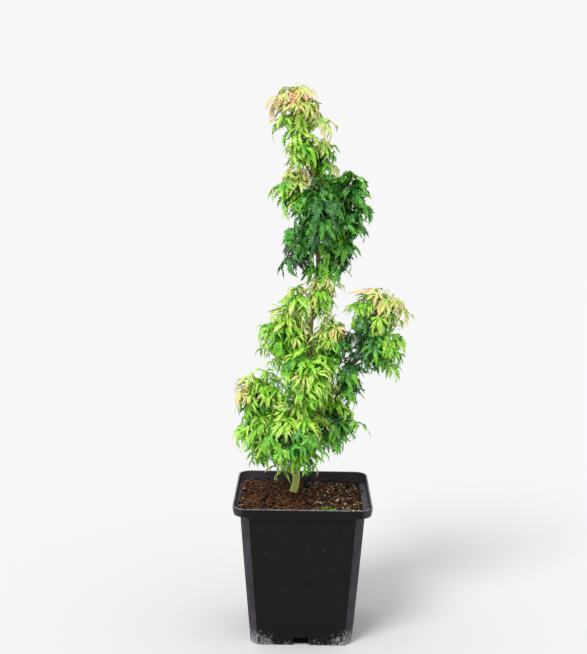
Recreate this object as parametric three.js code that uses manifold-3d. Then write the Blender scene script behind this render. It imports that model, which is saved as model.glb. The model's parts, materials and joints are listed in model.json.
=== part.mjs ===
// A young Japanese maple with crinkled, deep-cut leaves, growing in a square nursery pot.
// Millimetres, +Z up. The origin is the middle of the pot's flat underside, and -Y is the front.
//
// The pot is a thin shell, filled with compost. One slender trunk runs from the compost to the
// leader. Thin boughs leave it and end where they enter a mass of foliage. Each mass fills a space
// of its own with twigs and five-lobed leaves, which grow by one seeded rule from a single stem.
import * as THREE from "three";
import { mergeVertices } from "three/addons/utils/BufferGeometryUtils.js";
import Module from "manifold-3d";

const wasm = await Module();
wasm.setup();

// ---------------------------------------------------------------- driving dimensions

const GAP = 0.3; // clearance between neighbouring solids
const SLIVER = 0.02; // shortest edge that is kept where solids are fused

const POT = {
  rim: 110, // across the top of the rim band
  band: 108.4, // across the foot of the rim band
  shoulder: 98, // across the body, just under the band
  base: 81, // across the foot
  height: 117,
  ledge: 109.8, // where the wall steps out into the rim band
  wall: 1.2,
  floor: 1.6,
  rimCorner: 11, // radius of the rim's rounded corners
  chamferTop: 7, // legs of the body's flat corner chamfers
  chamferBase: 6,
  notch: { width: 12.5, height: 7, depth: 8 }, // drain notch at the foot of each side
  drain: { radius: 4, offset: 24 }, // round drain holes in the floor
};

const COMPOST = { edge: 109, mound: 3, spread: 30, ripple: 0.8, pad: 7, grain: 0.9 };

// The trunk's waypoints: x, y, z and radius. It flares at the foot and forks at its tip.
const TRUNK = [
  [-7.8, 8.4, 110, 4.6],
  [-7, 8, 114.5, 3.7],
  [-5.6, 7.4, 123, 3.3],
  [-5.2, 6.8, 134, 3.1],
  [-5.8, 6.4, 147, 2.9],
  [-3.8, 5.6, 172, 2.7],
  [0.4, 4.6, 206, 2.45],
  [4.2, 3.4, 241, 2.2],
  [6.2, 2.4, 272, 2],
  [9.8, 1.6, 295, 1.9],
  [9.2, 0.8, 319, 1.75],
  [7.4, 0.3, 346, 1.6],
  [4.6, 0, 372, 1.4],
  [1.2, 0, 393, 1.2],
  [-1.6, 0, 408, 1.05],
].map(([x, y, z, radius]) => ({ at: new THREE.Vector3(x, y, z), radius }));
const FOOT = new THREE.Vector3(-7.4, 8.2, 112.3); // middle of the flat cut that the trunk stands on

// Boughs: name, the limb it leaves, the height where it leaves, its tip, how far it arches and its
// radius at both ends. Every bough ends where it enters its mass.
const BOUGHS = [
  ["bough_low_left", "trunk", 134, [-22, 5, 154], 3, [1.5, 0.9]],
  ["bough_low_front", "trunk", 130, [-7, -12, 148], 3, [1.4, 0.9]],
  ["bough_low_back", "trunk", 141, [-4, 24, 156], 3, [1.4, 0.9]],
  ["bough_low_right", "trunk", 136, [15, 6, 156], 2, [1.4, 0.9]],
  ["bough_right", "trunk", 160, [50, 2, 242], -9, [2.1, 1.1]],
  ["bough_right_low", "bough_right", 217, [53, 6, 226], -1, [1.1, 0.8]],
  ["bough_mid_left", "trunk", 168, [-25, 4, 194], 4, [1.5, 0.9]],
  ["bough_mid_front", "trunk", 178, [4, -12, 202], 3, [1.5, 0.9]],
  ["bough_mid_back", "trunk", 186, [4, 22, 206], 3, [1.4, 0.9]],
  ["bough_mid_right", "trunk", 192, [19, 0, 222], -3, [1.3, 0.9]],
  ["bough_shoulder", "trunk", 208, [-11, 3, 236], 2, [1.5, 0.9]],
  ["bough_upper_right", "trunk", 306, [23, 0, 330], -3, [1.3, 0.9]],
].map(([name, from, height, tip, lift, radius]) => ({ name, from, height, tip, lift, radius }));

// Masses of foliage: name, where it is rooted (a bough's tip, or a height on a limb), the centre and
// the radii of the ellipsoid that bounds it, and the length of its largest leaves.
const MASSES = [
  ["low_left", ["bough_low_left"], [-35, 3, 163], [27, 27, 31], 22],
  ["low_front", ["bough_low_front"], [-7, -23, 164], [34, 27, 36], 23],
  ["low_back", ["bough_low_back"], [-4, 34, 164], [32, 25, 38], 23],
  ["low_right", ["bough_low_right"], [25, 3, 171], [23, 27, 30], 23],
  ["mid_left", ["bough_mid_left"], [-36, 3, 191], [26, 27, 25], 22],
  ["mid_front", ["bough_mid_front"], [4, -23, 212], [30, 25, 32], 22],
  ["mid_back", ["bough_mid_back"], [4, 32, 216], [31, 25, 32], 22],
  ["mid_right", ["bough_mid_right"], [22, 0, 240], [20, 25, 27], 18],
  ["shoulder", ["bough_shoulder"], [-14, 0, 243], [28, 28, 29], 22],
  ["right_dark", ["bough_right", 184], [37, 2, 209], [15, 25, 31], 22],
  ["right_low", ["bough_right_low"], [60, 4, 233], [27, 26, 25], 21],
  ["right_tip", ["bough_right"], [58, 1, 261], [29, 27, 29], 20],
  ["right_heart", ["bough_right", 224], [43, 2, 240], [15, 24, 22], 20],
  ["neck", ["trunk", 256], [12, 0, 275], [17, 20, 21], 17],
  ["shoulder_top", ["trunk", 252], [-6, -2, 268], [20, 22, 19], 17],
  ["upper_foot", ["trunk", 296], [-4, -2, 313], [19, 23, 22], 20],
  ["upper_skirt", ["trunk", 288], [25, 2, 311], [20, 23, 24], 20],
  ["upper_front", ["trunk", 318], [11, -20, 342], [26, 22, 33], 23],
  ["upper_back", ["trunk", 322], [16, 20, 347], [26, 23, 34], 23],
  ["upper_right", ["bough_upper_right"], [33, 0, 342], [25, 27, 33], 25],
  ["upper_left", ["trunk", 342], [-9, 0, 358], [20, 22, 26], 18],
  ["collar_left", ["trunk", 372], [-4, -8, 391], [18, 21, 22], 18],
  ["collar_right", ["trunk", 366], [9, 6, 385], [17, 20, 23], 18],
  ["leader", ["trunk"], [-8, 0, 421], [32, 28, 29], 20],
].map(([name, root, centre, radii, leaf]) => ({ name: `leaves_${name}`, root, centre, radii, leaf }));

// The five lobes of a leaf: angle from the middle lobe in degrees, and length as a share of it.
const LOBES = [[-104, 0.68], [-52, 0.9], [0, 1], [52, 0.9], [104, 0.68]];
const LEAF = {
  sinus: 0.5, // how far the notches between lobes stand from the hub
  heel: 0.16, // the two points beside the stalk
  heelAngle: 150,
  thickness: 0.06,
  lobeRadius: 0.1, // reach of a lobe to each side of its line
};

const TWIG = { root: 1, tip: 0.6, sides: 3, mainSteps: 3, sideSteps: 2 };
const SHOOTS = 3; // side shoots on a mass's main shoot
const PLACES = 400; // places in a mass where a leaf is tried
// Sizes of the leaves in each pass, as a share of the mass's own, and how far apart they stand.
const PASSES = [
  { largest: 1.4, smallest: 1, apart: 0.5 },
  { largest: 1, smallest: 0.7, apart: 0.42 },
  { largest: 0.75, smallest: 0.55, apart: 0.37 },
];
const STALK = { least: 3, most: 14, sunk: 0.5 }; // a leaf's stalk, and how far it passes its node
const LEAF_TRIES = 16; // ways that one leaf is turned before it is skipped
const MARGIN = 0.2; // kept clear of the plane between two masses
const SPREAD = { rise: 0.8192, turn: 0.671 };
const GOLDEN_ANGLE = THREE.MathUtils.degToRad(137.508);
const UP = new THREE.Vector3(0, 0, 1);

// ---------------------------------------------------------------- solids

const vec = (x, y, z) => new THREE.Vector3(x, y, z);

function solidOf(geometry) {
  const bare = new THREE.BufferGeometry();
  const flat = geometry.index ? geometry.toNonIndexed() : geometry;
  bare.setAttribute("position", flat.getAttribute("position"));
  const merged = mergeVertices(bare, 1e-3);
  return new wasm.Manifold(
    new wasm.Mesh({
      numProp: 3,
      vertProperties: new Float32Array(merged.attributes.position.array),
      triVerts: new Uint32Array(merged.index.array),
    }),
  );
}

function geometryOf(solid) {
  const { vertProperties, triVerts } = solid.getMesh();
  const geometry = new THREE.BufferGeometry();
  geometry.setAttribute("position", new THREE.BufferAttribute(vertProperties, 3));
  geometry.setIndex(new THREE.BufferAttribute(triVerts, 1));
  geometry.computeVertexNormals();
  return geometry;
}

// Fusing many solids can leave slivers, a loose scrap or a sealed hollow. Only the largest outer
// body stays, with edges shorter than the tolerance closed up.
function largestBody(solid) {
  const plain = solidOf(geometryOf(solid)).simplify(SLIVER);
  return plain.decompose().reduce((best, body) => (body.volume() > best.volume() ? body : best));
}

// mulberry32: the same seed always gives the same plant.
function seeded(seed) {
  let state = seed >>> 0;
  return () => {
    state = (state + 0x6d2b79f5) >>> 0;
    let t = state;
    t = Math.imul(t ^ (t >>> 15), t | 1);
    t ^= t + Math.imul(t ^ (t >>> 7), t | 61);
    return ((t ^ (t >>> 14)) >>> 0) / 4294967296;
  };
}

// ---------------------------------------------------------------- pot and compost

const CORNER_POINTS = 6;
const RING = 4 * CORNER_POINTS;

// Point k of a square outline whose corners are flat chamfers (round 0) or quarter circles (round 1).
function outlinePoint(k, half, corner, round) {
  const along = (k % CORNER_POINTS) / (CORNER_POINTS - 1);
  const turn = (Math.PI / 2) * Math.floor(k / CORNER_POINTS);
  const angle = (Math.PI / 2) * along;
  const flatX = half - corner * along;
  const flatY = half - corner * (1 - along);
  const roundX = half - corner + corner * Math.cos(angle);
  const roundY = half - corner + corner * Math.sin(angle);
  const x = THREE.MathUtils.lerp(flatX, roundX, round);
  const y = THREE.MathUtils.lerp(flatY, roundY, round);
  return new THREE.Vector2(x, y).rotateAround(new THREE.Vector2(), turn);
}

// A lathe gives the closed shell's faces, and each of its rings is then squared to its station.
function squaredLathe(stations) {
  const profile = stations.map((s) => new THREE.Vector2(s.half, s.z));
  const geometry = new THREE.LatheGeometry(profile, RING);
  const position = geometry.getAttribute("position");
  for (let i = 0; i < position.count; i++) {
    const k = Math.floor(i / stations.length) % RING;
    const s = stations[i % stations.length];
    const p = s.half > 0 ? outlinePoint(k, s.half, s.corner, s.round) : new THREE.Vector2();
    const middle = s.middle ?? new THREE.Vector2();
    const height = s.heightAt ? s.heightAt(p.x + middle.x, p.y + middle.y) : s.z;
    position.setXYZ(i, p.x + middle.x, p.y + middle.y, height);
  }
  return geometry;
}

// Half width and chamfer of the body's outside at a height.
function bodyAt(z) {
  const share = z / POT.ledge;
  return {
    half: THREE.MathUtils.lerp(POT.base, POT.shoulder, share) / 2,
    corner: THREE.MathUtils.lerp(POT.chamferBase, POT.chamferTop, share),
  };
}

function potSolid() {
  const { wall, ledge, height, floor } = POT;
  const body = (z, inset) => {
    const { half, corner } = bodyAt(z);
    return { half: half - inset, z, corner: corner - inset * 0.6, round: 0.15 };
  };
  const band = (width, z, inset) => ({
    half: width / 2 - inset,
    z,
    corner: POT.rimCorner - inset,
    round: 1,
  });
  const stations = [
    { half: 0, z: 0 },
    body(0, 0.8),
    body(1, 0),
    body(ledge, 0),
    band(POT.band, ledge, 0),
    band(POT.rim, height - 0.6, 0),
    band(POT.rim, height, 0.4),
    band(POT.rim, height, wall),
    band(POT.band, ledge + wall, wall),
    body(ledge + wall, wall),
    body(floor, wall),
    { half: 0, z: floor },
  ].map((s) => ({ corner: 0, round: 0, ...s }));
  const shell = solidOf(squaredLathe(stations));
  const cuts = [];
  const { notch, drain } = POT;
  for (let side = 0; side < 4; side++) {
    const turn = (side * Math.PI) / 2;
    const slot = new THREE.BoxGeometry(notch.width, notch.depth + 4, notch.height + 1);
    slot.translate(0, POT.base / 2 - notch.depth / 2 + 2, notch.height / 2 - 0.5);
    cuts.push(solidOf(slot.rotateZ(turn)));
    const hole = new THREE.CylinderGeometry(drain.radius, drain.radius, 4 * floor, 12);
    hole.rotateX(Math.PI / 2).translate(drain.offset, drain.offset, 0);
    cuts.push(solidOf(hole.rotateZ(turn)));
  }
  return shell.subtract(wasm.Manifold.union(cuts));
}

// The compost's surface: almost level, a little higher at the back left, and heaped at the trunk.
function compostHeight(x, y) {
  const foot = FOOT;
  const away = Math.hypot(x - foot.x, y - foot.y);
  const heap = COMPOST.mound * Math.exp(-((away / COMPOST.spread) ** 2));
  const waves = Math.sin(x * 0.21 + 1.3) * Math.cos(y * 0.17) + Math.sin(x * 0.07 - y * 0.11);
  const flat = THREE.MathUtils.smoothstep(away, COMPOST.pad, 2 * COMPOST.pad);
  return COMPOST.edge + heap + COMPOST.ripple * waves * flat;
}

function compostSolid() {
  const { wall, floor } = POT;
  const foot = FOOT;
  const random = seeded(11);
  const pad = foot.z - GAP;
  const bottom = floor + GAP;
  const inset = wall + GAP;
  const side = (z) => {
    const { half, corner } = bodyAt(z);
    return { half: half - inset, z, corner: corner - inset * 0.6, round: 0.15 };
  };
  const surface = (share) => {
    const edge = side(COMPOST.edge);
    return {
      half: edge.half * share,
      z: COMPOST.edge,
      corner: edge.corner * share + edge.half * (1 - share) * 0.6,
      round: 1 - share * 0.85,
      middle: new THREE.Vector2(foot.x, foot.y).multiplyScalar(1 - share ** 2),
      heightAt: (x, y) => compostHeight(x, y) + COMPOST.grain * (random() - 0.5),
    };
  };
  const padStation = (half) => ({
    half,
    z: pad,
    corner: half,
    round: 1,
    middle: new THREE.Vector2(foot.x, foot.y),
  });
  const stations = [
    { half: 0, z: bottom },
    side(bottom),
    side(COMPOST.edge - 4),
    ...[1, 0.85, 0.68, 0.5, 0.32].map(surface),
    padStation(COMPOST.pad),
    padStation(0),
  ].map((s) => ({ corner: 0, round: 0, ...s }));
  const geometry = squaredLathe(stations);
  // The lathe's first and last columns are one seam, so they share their heights.
  const position = geometry.getAttribute("position");
  stations.forEach((s, j) => position.setZ(RING * stations.length + j, position.getZ(j)));
  return solidOf(geometry);
}

// ---------------------------------------------------------------- limbs

function taper(from, to) {
  return (t) => THREE.MathUtils.lerp(from, to, t);
}

// The coordinate axis that lies furthest from a direction.
function acrossAxis(direction) {
  const axes = [vec(1, 0, 0), vec(0, 1, 0), vec(0, 0, 1)];
  const slant = (axis) => Math.abs(axis.dot(direction));
  return axes.reduce((best, axis) => (slant(axis) < slant(best) ? axis : best));
}

// A cylinder bent along a curve, with its radius given at every share t of the curve.
function limbSolid(curve, radiusAt, sides, steps) {
  const geometry = new THREE.CylinderGeometry(1, 1, 1, sides, steps);
  const position = geometry.getAttribute("position");
  const across = acrossAxis(curve.getPoint(1).sub(curve.getPoint(0)).normalize());
  for (let i = 0; i < position.count; i++) {
    const t = position.getY(i) + 0.5;
    const tangent = curve.getTangent(t);
    const u = across.clone().addScaledVector(tangent, -across.dot(tangent)).normalize();
    const v = u.clone().cross(tangent);
    const radius = radiusAt(t);
    const p = curve.getPoint(t);
    p.addScaledVector(u, position.getX(i) * radius);
    p.addScaledVector(v, position.getZ(i) * radius);
    position.setXYZ(i, p.x, p.y, p.z);
  }
  return solidOf(geometry);
}

function trunkLimb() {
  const curve = new THREE.CatmullRomCurve3(TRUNK.map((w) => w.at), false, "catmullrom", 0.5);
  const radiusAt = (t) => {
    const place = t * (TRUNK.length - 1);
    const i = Math.min(Math.floor(place), TRUNK.length - 2);
    return THREE.MathUtils.lerp(TRUNK[i].radius, TRUNK[i + 1].radius, place - i);
  };
  return { name: "trunk", curve, radiusAt, sides: 9, steps: 24 };
}

// The share t at which a rising limb passes a height.
function shareAtHeight(limb, height) {
  let low = 0;
  let high = 1;
  for (let i = 0; i < 30; i++) {
    const middle = (low + high) / 2;
    if (limb.curve.getPoint(middle).z < height) low = middle;
    else high = middle;
  }
  return (low + high) / 2;
}

// A rising arc from one point to another, lifted at its middle.
function arc(from, to, lift) {
  const middle = from.clone().lerp(to, 0.5).addScaledVector(UP, lift);
  return new THREE.QuadraticBezierCurve3(from, middle, to);
}

function growLimbs() {
  const limbs = new Map([["trunk", trunkLimb()]]);
  for (const { name, from, height, tip, lift, radius } of BOUGHS) {
    const parent = limbs.get(from);
    const start = parent.curve.getPoint(shareAtHeight(parent, height));
    const curve = arc(start, vec(...tip), lift);
    limbs.set(name, { name, from, curve, radiusAt: taper(...radius), sides: 6, steps: 6 });
  }
  return limbs;
}

// The trunk is cut flat where it stands, and each bough is cut clear of the limb that it leaves.
function limbSolids(limbs) {
  const solids = new Map();
  for (const [name, limb] of limbs) {
    const whole = limbSolid(limb.curve, limb.radiusAt, limb.sides, limb.steps);
    const parent = limb.from && limbs.get(limb.from);
    const cut = parent ? whole.subtract(clearance(parent)) : whole.trimByPlane([0, 0, 1], FOOT.z);
    solids.set(name, largestBody(cut));
  }
  return solids;
}

function clearance(limb) {
  return limbSolid(limb.curve, (t) => limb.radiusAt(t) + GAP, limb.sides, limb.steps);
}

// A limb as short straight rods, which leaves and twigs are tested against.
function rodsOf(limb) {
  const points = limb.curve.getPoints(3 * limb.steps);
  return points.slice(1).map((to, i) => {
    const radius = limb.radiusAt(i / (points.length - 1));
    return { from: points[i], to, radius, limb: limb.name };
  });
}

// Shortest distance between two straight rods' centrelines.
function rodDistance(p1, q1, p2, q2) {
  const d1 = q1.clone().sub(p1);
  const d2 = q2.clone().sub(p2);
  const r = p1.clone().sub(p2);
  const a = d1.dot(d1);
  const e = d2.dot(d2);
  const f = d2.dot(r);
  const b = d1.dot(d2);
  const c = d1.dot(r);
  const wide = a * e - b * b;
  let s = wide > 1e-9 ? THREE.MathUtils.clamp((b * f - c * e) / wide, 0, 1) : 0;
  const t = THREE.MathUtils.clamp((b * s + f) / e, 0, 1);
  s = THREE.MathUtils.clamp((b * t - c) / a, 0, 1);
  return p1.clone().addScaledVector(d1, s).distanceTo(p2.clone().addScaledVector(d2, t));
}

// ---------------------------------------------------------------- the space of each mass

// Each space is its ellipsoid, cut flat where a neighbour's begins, so every space is convex: a
// leaf whose corners are all inside lies inside.
function spacesOf(masses) {
  return masses.map(({ centre, radii }) => ({
    centre: vec(...centre),
    radii: vec(...radii),
    size: (radii[0] + radii[1] + radii[2]) / 3,
  }));
}

function isInside(point, own, spaces) {
  const offset = point.clone().sub(own.centre);
  if (offset.clone().divide(own.radii).length() > 1) return false;
  return spaces.every((other) => {
    if (other === own) return true;
    const between = other.centre.clone().sub(own.centre);
    const apart = between.length();
    const border = (apart ** 2 + own.size ** 2 - other.size ** 2) / (2 * apart);
    return offset.dot(between.divideScalar(apart)) <= border - MARGIN;
  });
}

// ---------------------------------------------------------------- leaves and twigs

// A leaf's outline and the two points, above and below the hub, that its faces meet at. It droops
// more towards its tips, and its stalk is one long narrow point that ends inside the twig.
function leafPoints({ hub, forward, normal, stalkEnd, length, droop }) {
  const side = normal.clone().cross(forward);
  const place = (degrees, reach) => {
    const angle = THREE.MathUtils.degToRad(degrees);
    const out = reach * length;
    return hub
      .clone()
      .addScaledVector(forward, Math.cos(angle) * out)
      .addScaledVector(side, Math.sin(angle) * out)
      .addScaledVector(normal, -droop * reach * out);
  };
  const outline = [stalkEnd, place(-LEAF.heelAngle, LEAF.heel)];
  LOBES.forEach(([angle, reach], i) => {
    outline.push(place(angle, reach));
    const next = LOBES[i + 1];
    if (next) outline.push(place((angle + next[0]) / 2, LEAF.sinus));
  });
  outline.push(place(LEAF.heelAngle, LEAF.heel));
  const half = (LEAF.thickness * length) / 2;
  const above = hub.clone().addScaledVector(normal, half);
  const below = hub.clone().addScaledVector(normal, -half);
  return { outline, above, below };
}

function leafSolid(leaf) {
  const { outline, above, below } = leafPoints(leaf);
  const n = outline.length;
  const vertices = [...outline, above, below].flatMap((p) => p.toArray());
  const faces = outline.flatMap((_, i) => [n, i, (i + 1) % n, n + 1, (i + 1) % n, i]);
  const geometry = new THREE.BufferGeometry();
  geometry.setAttribute("position", new THREE.Float32BufferAttribute(vertices, 3));
  geometry.setIndex(faces);
  return solidOf(geometry);
}

function touchesLimb(from, to, radius, rods) {
  return rods.some((rod) => {
    const reach = rod.radius + radius + GAP;
    return rodDistance(from, to, rod.from, rod.to) < reach;
  });
}

function leafFits(leaf, own, spaces, rods, shootRods, order) {
  const { outline, above } = leafPoints(leaf);
  if (!outline.slice(1).every((p) => isInside(p, own, spaces)) || !isInside(above, own, spaces))
    return false;
  const lobes = outline.filter((_, i) => i % 2 === 0 && i > 0);
  const width = LEAF.lobeRadius * leaf.length;
  const strange = shootRods.filter((rod) => rod.limb !== order);
  return (
    lobes.every((tip) => !touchesLimb(leaf.hub, tip, width, rods)) &&
    !touchesLimb(leaf.hub, leaf.stalkEnd, 0.4, [...rods, ...strange])
  );
}

// One leaf, aimed so that its middle stands at a place. It points away from its node on the twig
// and down, more so the lower it hangs, and its stalk runs back to the node.
function shapeLeaf(place, node, own, length, random) {
  const low = 0.5 - (0.5 * (place.z - own.centre.z)) / own.radii.z;
  const pitch = THREE.MathUtils.degToRad(THREE.MathUtils.lerp(20, -85, low * 0.4 + 0.6 * random()));
  const heading = place.clone().sub(node).setZ(0).normalize();
  heading.applyAxisAngle(UP, 1.2 * (random() - 0.5));
  const forward = heading.multiplyScalar(Math.cos(pitch)).addScaledVector(UP, Math.sin(pitch));
  const normal = UP.clone().addScaledVector(forward, -forward.z).normalize();
  normal.applyAxisAngle(forward, 0.9 * (random() - 0.5));
  const hub = place.clone().addScaledVector(forward, -0.4 * length);
  const stalkEnd = node.clone().addScaledVector(node.clone().sub(hub).normalize(), STALK.sunk);
  return { hub, forward, normal, stalkEnd, length, droop: 0.2 + 0.4 * random() };
}

// The stalk joins the leaf between the two heels, and is neither too short nor too long.
function stalkFits({ hub, forward, normal, stalkEnd }) {
  const stalk = stalkEnd.clone().sub(hub);
  const back = -stalk.dot(forward);
  const aside = Math.abs(stalk.dot(normal.clone().cross(forward)));
  const long = stalk.length() - STALK.sunk;
  return back > 0.25 * long && aside < 0.45 * back && long > STALK.least && long < STALK.most;
}

// The main shoot runs from the root to a crest near the top of the space. Side shoots leave it at
// golden-angle steps and end well inside the space.
function growShoots(mass, index, limbs, own, spaces, rods, random) {
  const { root, direction, radius } = rootOf(mass, limbs, own);
  const crest = own.centre.clone().addScaledVector(UP, 0.55 * own.radii.z);
  const bend = root.clone().addScaledVector(direction, 0.5 * root.distanceTo(crest));
  const main = new THREE.QuadraticBezierCurve3(root, bend, crest);
  const shoots = [{ curve: main, radiusAt: taper(radius, TWIG.tip), steps: TWIG.mainSteps }];
  for (let k = 0; k < SHOOTS; k++) {
    const start = pointOnTwig(shoots[0], 0.2 + (0.7 * (k + 0.5)) / SHOOTS);
    for (let attempt = 0; attempt < 8; attempt++) {
      const azimuth = (k + attempt * 0.3) * GOLDEN_ANGLE + index;
      const rise = THREE.MathUtils.lerp(-0.6, 0.5, (k + random()) / SHOOTS);
      const aim = vec(Math.cos(azimuth), Math.sin(azimuth), rise).normalize().multiply(own.radii);
      const end = own.centre.clone().addScaledVector(aim, 0.66 - 0.04 * attempt);
      const curve = arc(start, end, 0.2 * start.distanceTo(end));
      if (!shootFits(curve, own, spaces, rods)) continue;
      shoots.push({ curve, radiusAt: taper(0.8 * radius, TWIG.tip), steps: TWIG.sideSteps });
      break;
    }
  }
  return shoots;
}

function shootFits(curve, own, spaces, rods) {
  const points = curve.getPoints(4);
  return points.slice(1).every((p, i) => {
    const clear = i === 0 || !touchesLimb(points[i], p, TWIG.root, rods);
    return clear && isInside(p, own, spaces);
  });
}

// How far from its centre a space reaches in a direction.
function reachOf(own, aim, spaces) {
  let near = 0;
  let far = 2 * own.size;
  for (let i = 0; i < 10; i++) {
    const middle = (near + far) / 2;
    if (isInside(own.centre.clone().addScaledVector(aim, middle), own, spaces)) near = middle;
    else far = middle;
  }
  return near;
}

// Places for leaves, spread evenly through the space and the outermost first. Two sequences of
// steps that don't follow one another give each place its height and its turn.
function leafPlaces(own, spaces, random) {
  const places = [];
  for (let i = 0; i < PLACES; i++) {
    const shell = THREE.MathUtils.lerp(0.85, 0.1, i / PLACES);
    const rise = THREE.MathUtils.lerp(1, -1, (SPREAD.rise * i + 0.05 * random()) % 1);
    const flat = Math.sqrt(Math.max(0, 1 - rise ** 2));
    const azimuth = 2 * Math.PI * SPREAD.turn * i;
    const aim = vec(flat * Math.cos(azimuth), flat * Math.sin(azimuth), rise);
    places.push(own.centre.clone().addScaledVector(aim, shell * reachOf(own, aim, spaces)));
  }
  return places;
}

// A point on the line through the middle of a twig, which is straight from step to step.
function pointOnTwig({ curve, steps }, t) {
  const i = Math.min(Math.floor(t * steps), steps - 1);
  return curve.getPoint(i / steps).lerp(curve.getPoint((i + 1) / steps), t * steps - i);
}

// The points on the shoots that leaves can stand on.
function leafNodes(shoots) {
  return shoots.flatMap((shoot, order) =>
    [0.25, 0.34, 0.43, 0.52, 0.61, 0.7, 0.79, 0.88, 0.97].map((t) => {
      return { at: pointOnTwig(shoot, t), order };
    }),
  );
}

// A node near a place, but not always the nearest, at which a leaf of this length can stand.
function chooseNode(place, nodes, length, random) {
  let best = null;
  let bestScore = Infinity;
  for (const node of nodes) {
    const apart = node.at.distanceTo(place);
    const score = apart + 8 * random();
    if (apart > STALK.least + 0.35 * length && score < bestScore) {
      best = node;
      bestScore = score;
    }
  }
  return best;
}

// Where a mass is rooted: just past a bough's tip, or on the side of a limb at a height.
function rootOf(mass, limbs, own) {
  const [name, height] = mass.root;
  const limb = limbs.get(name);
  const t = height === undefined ? 1 : shareAtHeight(limb, height);
  const root = limb.curve.getPoint(t);
  const direction = limb.curve.getTangent(t);
  if (height === undefined) {
    root.addScaledVector(direction, GAP);
    return { root, direction, radius: Math.min(TWIG.root, limb.radiusAt(1)) };
  }
  direction.add(own.centre.clone().sub(root).setZ(0).normalize()).normalize();
  return { root, direction, radius: TWIG.root };
}

// Large leaves are tried over the whole space first, then smaller ones in what they left empty.
function growMass(mass, index, limbs, spaces, rods) {
  const random = seeded(100 + index);
  const own = spaces[index];
  const shoots = growShoots(mass, index, limbs, own, spaces, rods, random);
  const twigs = shoots.map((s) => limbSolid(s.curve, s.radiusAt, TWIG.sides, s.steps));
  const shootRods = shoots.flatMap((s, order) => rodsOf({ ...s, name: order, steps: 2 }));
  const nodes = leafNodes(shoots);
  const leaves = [];
  for (const { largest, smallest, apart } of PASSES)
    for (const place of leafPlaces(own, spaces, random)) {
      if (leaves.some((other) => other.middle.distanceTo(place) < apart * mass.leaf)) continue;
      for (let attempt = 0; attempt < LEAF_TRIES; attempt++) {
        const size = THREE.MathUtils.lerp(largest, smallest, (attempt + random()) / LEAF_TRIES);
        const length = mass.leaf * size;
        const node = chooseNode(place, nodes, length, random);
        if (!node) continue;
        const leaf = shapeLeaf(place, node.at, own, length, random);
        if (!stalkFits(leaf) || !leafFits(leaf, own, spaces, rods, shootRods, node.order)) continue;
        const solid = leafSolid(leaf);
        const near = leaves.filter((other) => other.hub.distanceTo(leaf.hub) < length + other.length);
        if (near.some((other) => !solid.intersect(other.solid).isEmpty())) continue;
        leaves.push({ solid, length, hub: leaf.hub, middle: place });
        break;
      }
    }
  const stem = limbs.get(mass.root[0]);
  const grown = wasm.Manifold.union([...twigs, ...leaves.map((leaf) => leaf.solid)]);
  return largestBody(grown.subtract(clearance(stem)));
}

// ---------------------------------------------------------------- the object

const MATERIALS = {
  pot: { color: "#2b2629", roughness: 0.55 },
  compost: { color: "#4a2f20", roughness: 1 },
  bark: { color: "#7a6440", roughness: 0.85 },
  limeLeaf: { color: "#9ccb33", roughness: 0.6 },
  greenLeaf: { color: "#4c9a24", roughness: 0.55 },
  deepLeaf: { color: "#1f5f28", roughness: 0.5 },
};
const LEAF_COLOUR = {
  leaves_leader: "limeLeaf",
  leaves_collar_left: "limeLeaf",
  leaves_collar_right: "limeLeaf",
  leaves_upper_left: "limeLeaf",
  leaves_neck: "limeLeaf",
  leaves_shoulder_top: "limeLeaf",
  leaves_mid_right: "limeLeaf",
  leaves_right_tip: "limeLeaf",
  leaves_upper_front: "deepLeaf",
  leaves_upper_back: "deepLeaf",
  leaves_upper_right: "deepLeaf",
  leaves_upper_foot: "deepLeaf",
  leaves_upper_skirt: "deepLeaf",
  leaves_right_dark: "deepLeaf",
  leaves_right_heart: "deepLeaf",
};

const maple = new THREE.Group();

function addPiece(name, solid, material) {
  const finish = new THREE.MeshStandardMaterial({ metalness: 0, ...MATERIALS[material] });
  const mesh = new THREE.Mesh(geometryOf(solid), finish);
  mesh.name = name;
  maple.add(mesh);
}

addPiece("pot", potSolid(), "pot");
addPiece("compost", compostSolid(), "compost");
const limbs = growLimbs();
for (const [name, solid] of limbSolids(limbs)) addPiece(name, solid, "bark");
const rods = [...limbs.values()].flatMap(rodsOf);
const spaces = spacesOf(MASSES);
MASSES.forEach((mass, index) => {
  addPiece(mass.name, growMass(mass, index, limbs, spaces, rods), LEAF_COLOUR[mass.name] ?? "greenLeaf");
});

export default maple;
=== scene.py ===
"""A young Japanese maple in a square nursery pot, dressed over its CAD frame.

Each piece has an operator in the sidebar's Maple tab. The pot, the compost and the bark are meshes
made from named sizes. The leaves are grown by the seeded rule that grew the solids, carried to
finer twigs, and Geometry Nodes sets a leaf mesh on every stalk.
"""
import json
import math

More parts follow.
